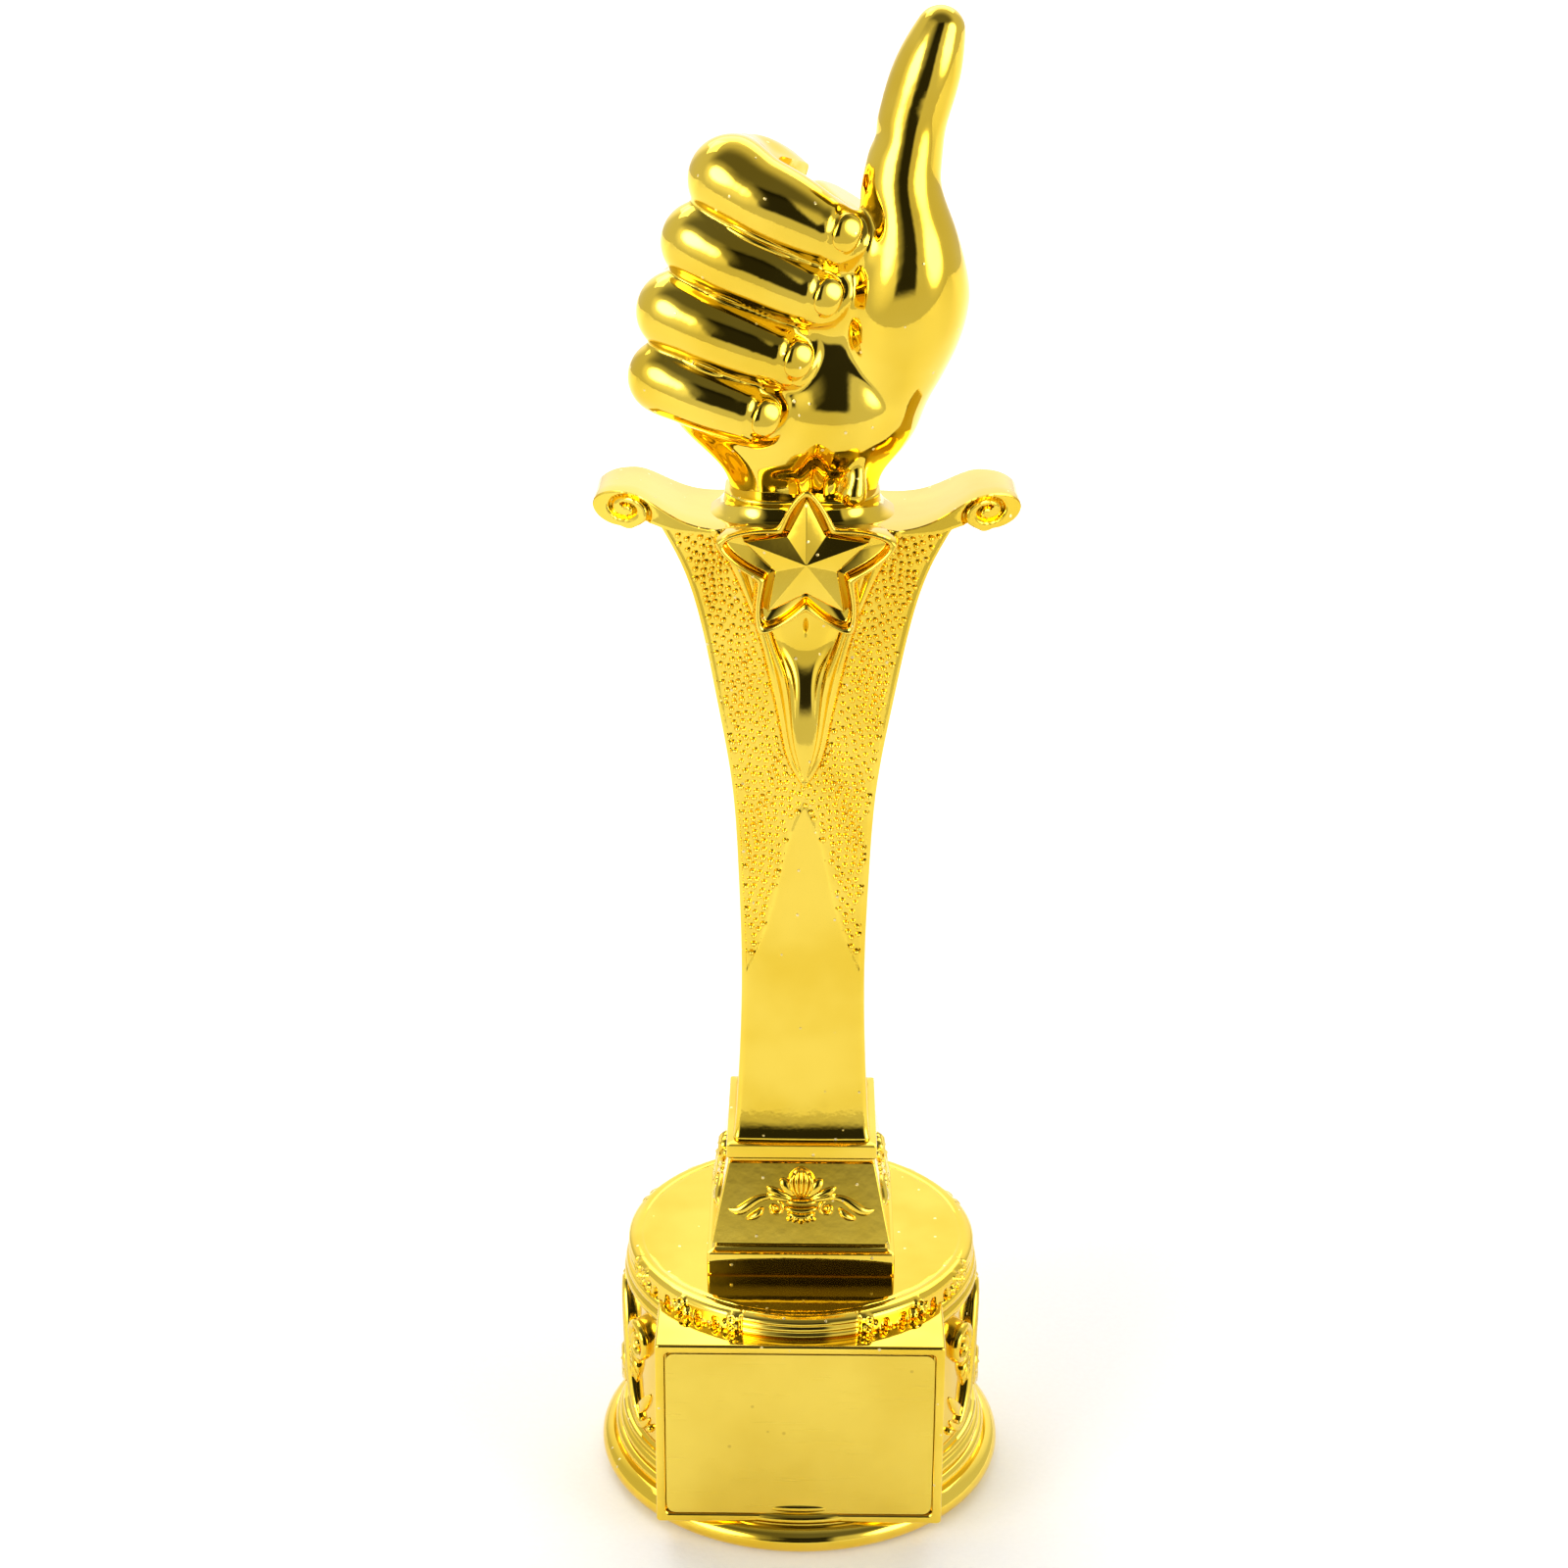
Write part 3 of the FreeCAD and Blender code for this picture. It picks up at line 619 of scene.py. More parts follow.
def pedestal_relief():
    """A fluted shell over a small crown, with curls and leafed tails, on each face."""
    bm = bmesh.new()
    for side in range(4):
        turn = side * math.pi / 2

        def to_space(x, z, rise, turn=turn):
            away = pedestal_faces(z) - 0.12 + rise
            return (x * np.cos(turn) + away * np.sin(turn), x * np.sin(turn) - away * np.cos(turn), z + rise * 0.2)
        palmette(bm, to_space)
    return piece("pedestal_relief", bm, gold_fine, sharp=0)


def palmette(bm, onto_face):
    base = plinth_top

    def to_space(x, z, rise):
        return onto_face(x * 1.15, base + 15.6 + (z - base - 15.6) * 1.08, rise)

    def mark(line, wide, high, sections=14, groove=0.0, side=1):
        stroke(bm, [(side * x, base + z) for x, z in line], wide, high, to_space, sections, groove=groove)
    # The fluted shell: a backing lobe and ribs that fan out of its foot and close over it.
    mark([(0, 15.4), (0, 18.2), (0, 21.4)], [(0, 1.4), (0.5, 2.4), (0.85, 1.7), (1, 0.7)],
         [(0, 0.6), (0.5, 0.85), (1, 0.5)], 18)
    for k in range(-2, 3):
        mark([(0.30 * k, 15.5), (0.86 * k, 18.4), (0.50 * k, 21.2 - 0.22 * k * k)],
             [(0, 0.25), (0.55, 0.50), (1, 0.32)], [(0, 1.0), (0.55, 1.55), (1, 0.9)], 16)
    for side in (-1, 1):
        mark([(1.2, 15.6), (2.4, 17.4), (3.3, 19.2)], [(0, 0.35), (0.7, 0.85), (1, 0.5)],
             [(0, 0.9), (0.7, 1.35), (1, 0.8)], side=side, groove=0.5)
        for z, lean in ((15.4, 2.1), (15.2, 1.0)):
            mark([(1.5, z), (3.7, z + lean * 0.45), (5.8, z + lean)], [(0, 0.35), (0.7, 0.72), (1, 0.45)],
                 [(0, 0.8), (0.7, 1.2), (1, 0.7)], side=side, groove=0.5)
        # The ring beside the crown, and the leafed tail that runs out over it.
        curl(bm, side * 4.35, base + 13.7, 1.5, 1.0, 90, 0.42, 1.1, to_space, hand=side)
        bead(bm, side * 4.35, base + 13.7, 0.7, 0.9, to_space)
        mark([(4.6, 15.6), (6.6, 15.5), (8.6, 14.3), (10.3, 13.2), (12.3, 13.5)],
             [(0, 0.45), (0.35, 0.75), (0.75, 0.85), (1, 0.25)], [(0, 0.8), (0.4, 1.3), (0.8, 1.2), (1, 0.4)],
             26, 0.45, side)
        mark([(6.3, 13.9), (7.4, 12.5), (9.2, 11.7)], [(0, 0.35), (0.6, 0.75), (1, 0.35)],
             [(0, 0.8), (0.6, 1.15), (1, 0.5)], side=side)
    # The crown: a band with two rolls over a pointed, scalloped shell.
    for z, half, sag in ((14.9, 2.7, 0.1), (13.8, 2.9, 0.45), (12.9, 2.4, 0.6)):
        mark([(-half, z), (0, z - sag), (half, z)], [(0, 0.45), (0.5, 0.62), (1, 0.45)],
             [(0, 0.9), (0.5, 1.3), (1, 0.9)])
    for k in range(-2, 3):
        mark([(0.55 * k, 13.0), (0.95 * k, 12.0), (1.15 * k, 10.6 + 0.38 * k * k)],
             [(0, 0.4), (0.6, 0.66), (1, 0.4)], [(0, 1.0), (0.6, 1.2), (1, 0.6)], 10)


# ---- column
column_base = pedestal_top
half_width_at = curve([(0, 12.8), (19, 11.85), (36.3, 11.56), (54.3, 12.1), (72.3, 13.3), (89.3, 16.1),
                       (104.3, 19.1), (114.3, 22.4), (121.8, 26.4)])
front_depth_at = curve([(0, 12.9), (8, 11.65), (18, 10.8), (30, 10.35), (44, 10.4), (72, 11.3), (104, 13.3), (121.8, 15.2)])
back_depth_at = curve([(0, 10.8), (36, 10.3), (72, 10.9), (104, 12.0), (121.8, 13.0)])
crown_at = curve([(0, 0.20), (60, 0.5), (104, 2.6), (121.8, 5.0)])
chamfer_at = curve([(0, 1.1), (36, 0.9), (72, 0.7), (121.8, 0.8)])
# Half widths of the smooth flame low on the front, and of the V under the star, over the column's base.
flame_at = curve([(33.3, 10.9), (40.3, 7.9), (47.3, 5.7), (55.3, 3.95), (63.2, 2.0), (68.1, 0.0)])
vee_at = curve([(72.7, 0.2), (75.6, 1.9), (84.3, 4.2), (92.8, 5.9), (100.1, 7.5), (106.8, 9.64),
                (113.3, 12.3), (118.3, 14.9), (122.6, 18.3)])
flame_foot, flame_tip, vee_tip = 33.3, 68.1, 72.7
pebble_sink, vee_sink = 0.30, 5.5


def front_y(x, height):
    half = half_width_at(height)
    return -(front_depth_at(height) - crown_at(height) * (x / half) ** 2)


def back_y(x, height):
    half = half_width_at(height)
    return back_depth_at(height) - crown_at(height) * (x / half) ** 2


def pebble_ground(x, height, with_vee):
    """1 where the pebbled ground is, 0 on the smooth flame, the V and the edges."""
    x = np.abs(x)
    outer = half_width_at(height) - chamfer_at(height) - 0.05
    inside = step_between(-0.15, 0.15, outer - x)
    flame = np.where(height < flame_tip, flame_at(height) + 0.25, -1.0)
    beside = step_between(-0.15, 0.15, x - flame)
    above = step_between(flame_foot - 0.1, flame_foot + 0.4, height)
    vee = np.where((height > vee_tip) & with_vee, vee_at(height) + 0.35, -1.0)
    return inside * beside * above * step_between(-0.15, 0.15, x - vee)


def column():
    bend = np.linspace(0, 0.2, 6)
    turn_back = np.concatenate([bend, np.linspace(0.3, 0.7, 6), bend + 0.8])
    us = np.concatenate([np.linspace(0, 1, 119)[:-1], 1 + turn_back, np.linspace(2, 3, 61)[1:-1], 3 + turn_back])
    top = deck_z - column_base - 1.0
    vs = np.concatenate([[-2.0, -1.0], np.linspace(0, 2.4, 9), np.linspace(3, top, 208), [top + 1.0]])

    def place(u, v):
        height = np.clip(v, 0, top)
        shut = (v <= -2.0) | (v > top)
        foot = 0.55 * np.exp(-height / 1.3) - 0.35 * np.exp(-((height / 0.35) ** 2))
        half, corner = half_width_at(height), chamfer_at(height)
        flat = half - corner
        # u runs over the front, round one side, over the back and round the other side.
        t = np.where(u < 2, u - 1, 4 - u)
        side = np.where(u < 2, 1.0, -1.0)
        turning = np.clip(t / 0.2, 0, 1) * np.pi / 2
        leaving = np.clip((t - 0.8) / 0.2, 0, 1) * np.pi / 2
        along = np.clip((t - 0.2) / 0.6, 0, 1)
        front, back = front_y(flat, height), back_y(flat, height)
        x_side = flat + corner * np.sin(turning) - corner * (1 - np.cos(leaving))
        y_side = (front + corner * (1 - np.cos(turning)) + along * (back - front - 2 * corner)
                  + corner * np.sin(leaving))
        x_face = flat * np.where(u <= 1, 2 * u - 1, 1 - 2 * (u - 2))
        on_front, on_back = u < 1, (u > 2) & (u < 3)
        x = np.where(on_front | on_back, x_face, side * x_side)
        sunk = (height > vee_tip) & (np.abs(x) < vee_at(height) + 0.1)
        depth = vee_sink * (1 - 0.8 * step_between(111.5, 117.5, height))
        y_front = front_y(x, height) + pebble_sink * pebble_ground(x, height, True) + np.where(sunk, depth, 0.0)
        y_back = back_y(x, height) - pebble_sink * pebble_ground(x, height, False)
        y = np.where(on_front, y_front, np.where(on_back, y_back, y_side))
        x, y = x * (1 + foot / half), y * (1 + foot / 11.0)
        return np.where(shut, 0, x), np.where(shut, 0, y), column_base + np.where(v < 0, -0.2, height)
    bm = bmesh.new()
    surface(bm, us, vs, place)
    return piece("column", bm, gold_cast, sharp=0, replaces=("column_front_shell", "column_rear_shell"))


def pebbles(name, face_y, outward, with_vee, seed):
    """Low domes in wavering rows over the pebbled ground."""
    rng = np.random.default_rng(seed)
    bm = bmesh.new()
    profile = [(0.60, 0.0), (0.54, 0.12), (0.50, 0.38), (0.39, 0.62), (0.21, 0.77), (0.0, 0.82)]
    radii, rises = np.array(profile).T
    pitch, row = 1.40, 1.50
    for number in range(59):
        base = flame_foot + 1.0 + number * row
        for x in np.arange(-27, 27, pitch) + rng.uniform(0, pitch):
            x = x + rng.uniform(-0.16, 0.16)
            height = base + 0.9 * math.sin(0.55 * abs(x) + 0.17 * base) + rng.uniform(-0.17, 0.17)
            if height > 121.0 or pebble_ground(np.array(x), height, with_vee) < 0.97:
                continue
            near = np.array([x - 0.45, x + 0.45])
            if (pebble_ground(near, np.array([height, height]), with_vee) < 0.5).any():
                continue
            size = rng.uniform(0.86, 1.1)

            def place(u, v, x=x, height=height, size=size):
                ring = v.astype(int)
                px, pz = radii[ring] * size * np.cos(u), radii[ring] * size * np.sin(u)
                ground = face_y(x + px, height + pz) - outward * (pebble_sink + 0.04)
                return x + px, ground + outward * rises[ring] * size, column_base + height + pz
            surface(bm, np.linspace(0, 2 * np.pi, 10), np.arange(len(profile)), place)
    return piece(name, bm, gold_fine, sharp=0)


def vee_panel():
    """The V under the star: a raised rim, two grooves with a ridge between them, and a hollow tongue."""
    tongue_at = curve([(74.2, 0.15), (77.1, 0.95), (85.3, 2.1), (93.9, 3.1), (97.7, 4.7), (101.1, 5.9), (106, 7.2),
                       (123, 8.2)])
    hollow_at = curve([(74.0, 0.0), (80.0, 0.15), (86.0, 0.9), (92.0, 2.3), (97.5, 3.3), (102.0, 3.2), (108.0, 2.4),
                       (123, 2.0)])
    margin = 0.5
    top = deck_z - column_base - 0.4

    def place(u, v):
        height = vee_tip - 0.7 + v * (top - vee_tip + 0.7)
        half = vee_at(height) * step_between(vee_tip - 0.9, vee_tip + 0.6, height) + margin
        x = u * half
        inner = half - margin - np.abs(x)
        tongue = tongue_at(height)
        band = np.clip(inner / np.maximum(half - margin - tongue, 0.4), -1, 1.0)
        wide = step_between(0.3, 1.6, half - margin - tongue)
        ridges = (0.50 * np.exp(-((band - 0.13) / 0.13) ** 2) - 0.55 * np.exp(-((band - 0.38) / 0.11) ** 2)
                  + 0.10 * np.exp(-((band - 0.56) / 0.08) ** 2) - 0.75 * np.exp(-((band - 0.78) / 0.12) ** 2))
        spoon = np.clip(1 - np.abs(x / np.maximum(tongue, 0.3)) ** 3.5, 0, 1)
        hollow = -hollow_at(height) * (0.55 + 0.45 * spoon) * step_between(0.70, 1.0, band)
        edge = -0.6 * (1 - step_between(-margin, -0.05, inner))
        rise = ridges * (0.35 + 0.65 * wide) + hollow + edge
        notch = 1.1 * np.exp(-(x / 0.42) ** 2 - ((height - 102.6) / 1.3) ** 2)
        return x, front_y(x, height) - rise + notch, column_base + height
    bm = bmesh.new()
    surface(bm, np.linspace(-1, 1, 131), np.linspace(0, 1, 190), place)
    made = piece("vee_panel", bm, gold, sharp=0)
    wall = made.modifiers.new("wall", "SOLIDIFY")
    wall.thickness, wall.offset = 0.4 * MM, -1.0
    return made


# ---- star and its frame
def star_ring(u, tips, waists, tip_turns, power):
    """Points of a star's outline for u from 0 to 10, the first at the top; sides bow in by power."""
    k = np.floor(u).astype(int) % 10
    share = u - np.floor(u)
    tip_turns = np.array(list(tip_turns) + [tip_turns[0] - 360.0])
    waist_turns = (tip_turns[1:] + tip_turns[:-1]) / 2
    tip = np.where(k % 2 == 0, k // 2, (k // 2 + 1) % 5)
    falling = k % 2 == 0
    toward_tip = np.where(falling, 1 - share, share)
    waist = k // 2
    tip_turn = np.where(falling, tip_turns[k // 2], tip_turns[k // 2 + 1])
    turn = np.radians(waist_turns[waist] + (tip_turn - waist_turns[waist]) * toward_tip)
    low, high = np.array(waists)[waist], np.array(tips)[tip]
    blunt = 0.09
    toward_tip = 1 - (np.hypot(1 - toward_tip, blunt) - blunt) / (math.hypot(1, blunt) - blunt)
    radius = low + (high - low) * toward_tip ** power
    return radius * np.cos(turn), radius * np.sin(turn)


frame_turns = (90, 12.0, -58.5, -121.5, -192.0)
frame_tips = (12.9, 15.8, 15.1, 15.1, 15.8)
frame_waists = (7.9, 9.0, 8.7, 9.0, 7.9)


def star_frame():
    """A star-shaped rim with bowed sides, sunk within; behind, it flares at its sides and slopes off above."""
    front = 18.35
    # (growth from the crest's outline, distance in front of the axis)
    rings = [(0.0, 11.5), (1.0, 11.5), (1.1, 12.6), (1.2, 13.6), (1.1, 14.7), (0.95, 15.7), (0.75, 16.6),
             (0.5, 17.4), (0.25, 17.95), (0.05, 18.25), (-0.2, front), (-0.5, 18.32), (-0.85, 18.15), (-1.1, 17.8),
             (-1.25, 17.2), (-1.33, 16.4), (-1.4, 15.6), (-1.5, 15.2), (-1.8, 15.05), (-9.0, 15.05)]

    def place(u, v):
        ring = v.astype(int)
        grow, away = np.array(rings)[ring].T
        x, z = star_ring(u, frame_tips, frame_waists, frame_turns, 1.55)
        size = np.hypot(x, z)
        up = np.clip(z / size, 0, 1) ** 1.5
        behind = np.clip(17.6 - away, 0, None) * (ring < 10)
        scale = (size + grow * (1 - 0.5 * up * (grow > 0)) - up * behind * 0.75) / size
        scale = np.where((ring == 0) | (ring == len(rings) - 1), 0.0, scale)
        return x * scale, -away, star_z + z * scale
    us = np.concatenate([k + np.array([0, 0.03, 0.07, 0.12, 0.2, 0.32, 0.45, 0.58, 0.7, 0.8, 0.88, 0.93, 0.97])
                         for k in range(10)] + [[10.0]])
    bm = bmesh.new()
    surface(bm, us, np.arange(len(rings)), place)
    return piece("star_frame", bm, gold, sharp=0, replaces=("front_cartouche",))


def star():
    """A five-pointed star of ten facets with crisp ridges and a fine bevel round its edge."""
    reach, waist, back, edge, peak = 11.4, 5.75, 14.8, 17.35, 19.6
    bm = bmesh.new()
    corners = []
    for k in range(10):
        radius, turn = (reach, waist)[k % 2], math.pi / 2 - k * math.pi / 5
        corners.append(bm.verts.new((radius * math.cos(turn), -edge, star_z + radius * math.sin(turn))))
    top = bm.verts.new((0, -peak, star_z))
    for a, b in zip(corners, corners[1:] + corners[:1]):
        bm.faces.new((a, b, top))
    outline = [edge_ for edge_ in bm.edges if len(edge_.link_faces) == 1]
    made = bmesh.ops.extrude_edge_only(bm, edges=outline)["geom"]
    skirt = [item for item in made if isinstance(item, bmesh.types.BMVert)]
    bmesh.ops.translate(bm, vec=(0, edge - back, 0), verts=skirt)
    for vert in skirt:
        vert.co.x *= 1.04
        vert.co.z = star_z + (vert.co.z - star_z) * 1.04
    bmesh.ops.holes_fill(bm, edges=[e for e in bm.edges if len(e.link_faces) == 1], sides=0)
    rims = [e for e in bm.edges if all(abs(v.co.y + edge) < 1e-4 for v in e.verts)]
    bmesh.ops.bevel(bm, geom=rims, offset=0.16, segments=2, profile=0.5, affect="EDGES", material=-1)
    ridges = [e for e in bm.edges if any((v.co - top.co).length < 1e-4 for v in e.verts)] if top.is_valid else []
    bmesh.ops.bevel(bm, geom=ridges, offset=0.08, segments=2, profile=0.5, affect="EDGES", material=-1)
    return piece("raised_star", bm, gold, sharp=12, replaces=("star",))


# ---- collar and its wings
volute_x, volute_z, volute_reach, volute_rise = wing_span - 5.05, wing_crest - 3.35, 5.0, 3.3
lip_top = curve([(0, deck_z - 0.15), (10, deck_z - 0.3), (17, deck_z - 0.35), (22, deck_z + 0.75),
                 (27.3, deck_z + 3.45), (30.6, wing_crest - 0.2), (volute_x, wing_crest - 0.05)])
lip_bottom = curve([(0, deck_z - 1.6), (20, deck_z - 1.6), (25.5, deck_z - 1.1), (27.8, deck_z - 0.55),
                    (29.4, deck_z - 1.0), (31.2, deck_z - 1.95), (volute_x, volute_z - volute_rise)])


def collar_depths(x):
    share = np.clip(np.abs(x) / 36.5, 0, 1.05) ** 2
    return -15.8 + 9.6 * share, 13.4 - 7.3 * share


def collar():
    """A thin lens-shaped platform whose ends rise and curl under into scrolls."""
    side = np.concatenate([np.linspace(0, 27, 46)[:-1], np.linspace(27, 36, 56)[:-1],
                           volute_x + volute_reach * np.sin(np.radians(np.linspace(36.5, 90, 14)))])
    xs = np.concatenate([-side[:0:-1], side])
    counts = (26, 8, 10, 8)                 # points up the front, over the top, down the back, under
    us = np.concatenate([k + np.linspace(0.0, 1.0, n + 1)[:-1] for k, n in enumerate(counts)] + [[4.0]])

    def place(u, v):
        x = np.abs(v)
        bow = volute_rise * np.sqrt(np.clip(1 - ((x - volute_x) / volute_reach) ** 2, 0, 1))
        high = np.where(x < volute_x, lip_top(x), volute_z + bow)
        low = np.where(x < volute_x, lip_bottom(x), volute_z - bow)
        front, back = collar_depths(x)
        round_ = np.minimum(0.42, (high - low) / 2)
        k = np.floor(u).astype(int) % 4
        t = u - np.floor(u)
        ease = np.clip(t, 0, 1)
        y = np.choose(k, [front, front + ease * (back - front), back, back - ease * (back - front)])
        z = np.choose(k, [low + ease * (high - low), high, high - ease * (high - low), low])
        # Soften the four long edges.
        near_y = np.minimum(y - front, back - y)
        near_z = np.minimum(z - low, high - z)
        cut = np.clip(round_ - near_y, 0, None) * 0.5 + 0 * near_z
        z = np.where((k == 1) | (k == 3), z - np.sign(z - (high + low) / 2) * cut, z)
        y = np.where((k == 0) & (near_z < round_), y + (round_ - near_z) * 0.5, y)
        y = np.where((k == 2) & (near_z < round_), y - (round_ - near_z) * 0.5, y)
        y = y + np.where(k == 0, volute_carving(x, z), 0.0) - np.where(k == 2, volute_carving(x, z), 0.0)
        return v, y, z
    bm = bmesh.new()
    surface(bm, us, xs, place)
    return piece("collar_platform", bm, gold, sharp=38, replaces=("collar",))


def volute_carving(x, z):
    """Depth of the spiral groove on a scroll's face."""
    dx, dz = x - (volute_x - 1.0), (z - (volute_z - 0.15)) / 0.72
    reach, turn = np.hypot(dx, dz), np.arctan2(dz, -dx)
    groove = np.zeros_like(reach)
    for lap in (0, 1):
        wound = turn / (2 * math.pi) + lap
        spiral = 4.3 * np.exp(-0.95 * wound)
        groove = np.maximum(groove, np.exp(-((reach - spiral) / 0.36) ** 2) * ((wound > -0.2) & (wound < 1.35)))
    return 1.25 * groove


def neck():
    """The mound that the wrist stands on, swept up out of the platform."""
    z = deck_z
    rings = [(17.3, 11.9, 10.2, z - 1.6), (17.0, 11.8, 10.2, z - 0.9), (16.4, 11.6, 9.9, z - 0.35),
             (15.6, 11.3, 9.4, z + 0.15), (14.8, 11.0, 8.9, z + 0.75), (14.2, 10.8, 8.5, z + 1.4),
             (13.8, 10.6, 8.2, z + 2.1), (13.7, 10.5, 8.1, z + 2.8), (13.9, 10.7, 8.2, z + 3.2),
             (13.9, 10.7, 8.2, z + 3.6), (13.6, 10.4, 8.0, z + 3.85), (13.0, 9.9, 7.8, z + 3.95)]
    bm = bmesh.new()
    ringed(bm, rings, lambda x, y, level: (x - 0.8, y, level), corner_steps=16)
    return piece("neck", bm, gold, sharp=0)


# ---- studio
def aim(place, target):
    return (Vector(target) - Vector(place)).to_track_quat("-Z", "Y").to_euler()


def softbox(name, place, target, size, power):
    light = bpy.data.lights.new(name, "AREA")
    light.shape, light.size, light.size_y, light.energy = "RECTANGLE", size[0], size[1], power
    lamp = bpy.data.objects.new(name, light)
    lamp.location, lamp.rotation_euler = place, aim(place, target)
    bpy.context.scene.collection.objects.link(lamp)


def camera():
    place = Vector((0.0, -0.50235, 0.34179))
    pitch, yaw, roll = 0.375413, -0.0076002, 0.0050958
    ahead = Vector((math.sin(yaw) * math.cos(pitch), math.cos(yaw) * math.cos(pitch), -math.sin(pitch)))
    right = Vector((math.cos(yaw), -math.sin(yaw), 0))
    above = right.cross(ahead)
    right, above = (math.cos(roll) * right + math.sin(roll) * above,
                    math.cos(roll) * above - math.sin(roll) * right)
    turn = Matrix((right, above, -ahead)).transposed()
    data = bpy.data.cameras.new("camera")
    data.lens, data.sensor_width, data.sensor_fit = 66.58, 36.0, "HORIZONTAL"
    data.clip_start, data.clip_end = 0.01, 50.0
    made = bpy.data.objects.new("camera", data)
    made.matrix_world = Matrix.Translation(place) @ turn.to_4x4()
    bpy.context.scene.collection.objects.link(made)
    bpy.context.scene.camera = made


def studio_world():
    """A white tent with a dim opening on the camera's side, a dim roof and two glowing panels.

    Seen straight on, it is plain white.
    """
    world = bpy.data.worlds.new("studio")
    world.use_nodes = True
    bpy.context.scene.world = world
    shader = Shader(world.node_tree)
    where = shader.node("ShaderNodeTexCoord").outputs["Generated"]

    def toward(x, y, z):
        return shader.field("ShaderNodeVectorMath", {"operation": "DOT_PRODUCT"},
                            {0: where, 1: Vector((x, y, z)).normalized()}, output=1)
    height = shader.field("ShaderNodeSeparateXYZ", None, {0: where}, output=2)
    aside = toward(1.0, 0.10, 0)
    aside = aside + 0.13
    opening = (1 - (aside * aside).between(0.07, 0.15)) * height.between(-0.14, -0.01)
    opening = opening * (1 - height.between(0.62, 0.74)) * toward(0, -1, 0).between(0.2, 0.4)
    behind = toward(0, 0.86, 0.5).between(0.70, 0.93)
    roof = height.between(0.46, 0.72) * toward(0, -1, 0.8).between(0.35, 0.80)
    left = toward(-0.72, -0.72, 0.42)
    right = toward(0.80, -0.54, 0.26)
    dim = (1 - opening * 0.965) * (1 - roof * 0.80)
    glow = left.between(0.80, 0.985) * 0.5 + left.between(0.94, 0.99) * 6.5
    glow = glow + right.between(0.88, 0.99) * 0.4 + right.between(0.925, 0.985) * 5.0 + behind * 0.55
    seen = shader.field("ShaderNodeLightPath", None, {}, output=0)
    strength = (dim * 0.685 + glow) * (1 - seen) + seen
    background = shader.node("ShaderNodeBackground", None, {"Color": rgb(1, 1, 1), "Strength": strength})
    shader.node("ShaderNodeOutputWorld", None, {"Surface": background.outputs[0]})


def studio():
    bm = bmesh.new()
    # A table whose near edge is just under the camera.
    table = Matrix.Translation((0, 2.52, 0)) @ Matrix.Diagonal((2.0, 1.0, 1.0, 1.0))
    bmesh.ops.create_grid(bm, x_segments=8, y_segments=8, size=3.0, matrix=table)
    mesh = bpy.data.meshes.new("floor")
    bm.to_mesh(mesh)
    bm.free()
    mesh.materials.append(paper_floor("floor_paper"))
    floor = bpy.data.objects.new("floor", mesh)
    bpy.context.scene.collection.objects.link(floor)
    softbox("rear", (0.0, 1.9, 2.0), (0, 1.6, 0), (3.0, 1.6), 26)
    softbox("fill", (-0.5, 0.5, 1.2), (0, 0, 0.16), (0.7, 0.5), 2)
    studio_world()
    view = bpy.context.scene.view_settings
    view.view_transform, view.look, view.exposure = "Standard", "None", 0.0


# ---- hand
def soft_least(a, b, reach):
    """The lesser of two distances, blended where they are within reach of each other."""
    share = np.clip(0.5 + 0.5 * (b - a) / reach, 0, 1)
    return b + (a - b) * share - reach * share * (1 - share)


def limb(knots, beads=24):
    """A smooth tapering limb through (x, y, z, radius) knots, as a string of beads."""
    return path(knots)(np.linspace(0, 1, beads))


def limb_distance(points, beads, reach=4.0):
    """Distance to a limb's skin, and reach for the points that are further off than that."""
    low = (beads[:, :3] - beads[:, 3:]).min(axis=0) - reach
    high = (beads[:, :3] + beads[:, 3:]).max(axis=0) + reach
    near = np.flatnonzero(((points > low) & (points < high)).all(axis=1))
    spots, row = points[near], np.arange(len(near))
    gaps = np.sqrt(((spots[:, None, :] - beads[None, :, :3]) ** 2).sum(axis=2)) - beads[:, 3]
    best = np.clip(gaps.argmin(axis=1), 1, len(beads) - 2)
    before, here, after = (gaps[row, best + k] for k in (-1, 0, 1))
    slope, bow = (after - before) / 2, np.maximum(before - 2 * here + after, 1e-6)
    shift = np.clip(-slope / bow, -1, 1)
    distance = np.full(len(points), reach)
    distance[near] = np.minimum(here + slope * shift + bow * shift * shift / 2, reach)
    return distance


# Each finger: knuckle, middle joint, tip, as (x, y, z, radius).
fingers = [
    [(-13.2, -6.0, 256.6, 7.0), (-9.0, -8.4, 254.3, 7.1), (-4.2, -9.6, 252.0, 6.9), (0.4, -10.4, 249.8, 6.1),
     (4.2, -11.0, 248.0, 5.2)],
    [(-18.4, -6.0, 245.9, 6.5), (-14.0, -8.4, 243.9, 6.8), (-8.6, -9.6, 241.8, 6.6), (-3.6, -10.6, 239.6, 6.0),
     (1.0, -11.2, 237.8, 5.3)],
    [(-22.8, -5.8, 233.8, 6.5), (-18.6, -8.0, 232.2, 6.7), (-13.4, -9.4, 230.3, 6.5), (-8.4, -10.4, 228.5, 5.9),
     (-4.0, -11.0, 227.0, 5.2)],
    [(-24.9, -5.4, 222.2, 6.0), (-21.6, -7.4, 221.0, 6.2), (-17.4, -8.8, 219.5, 6.0), (-13.2, -9.6, 218.0, 5.6),
     (-9.3, -10.2, 216.7, 5.0)],
]
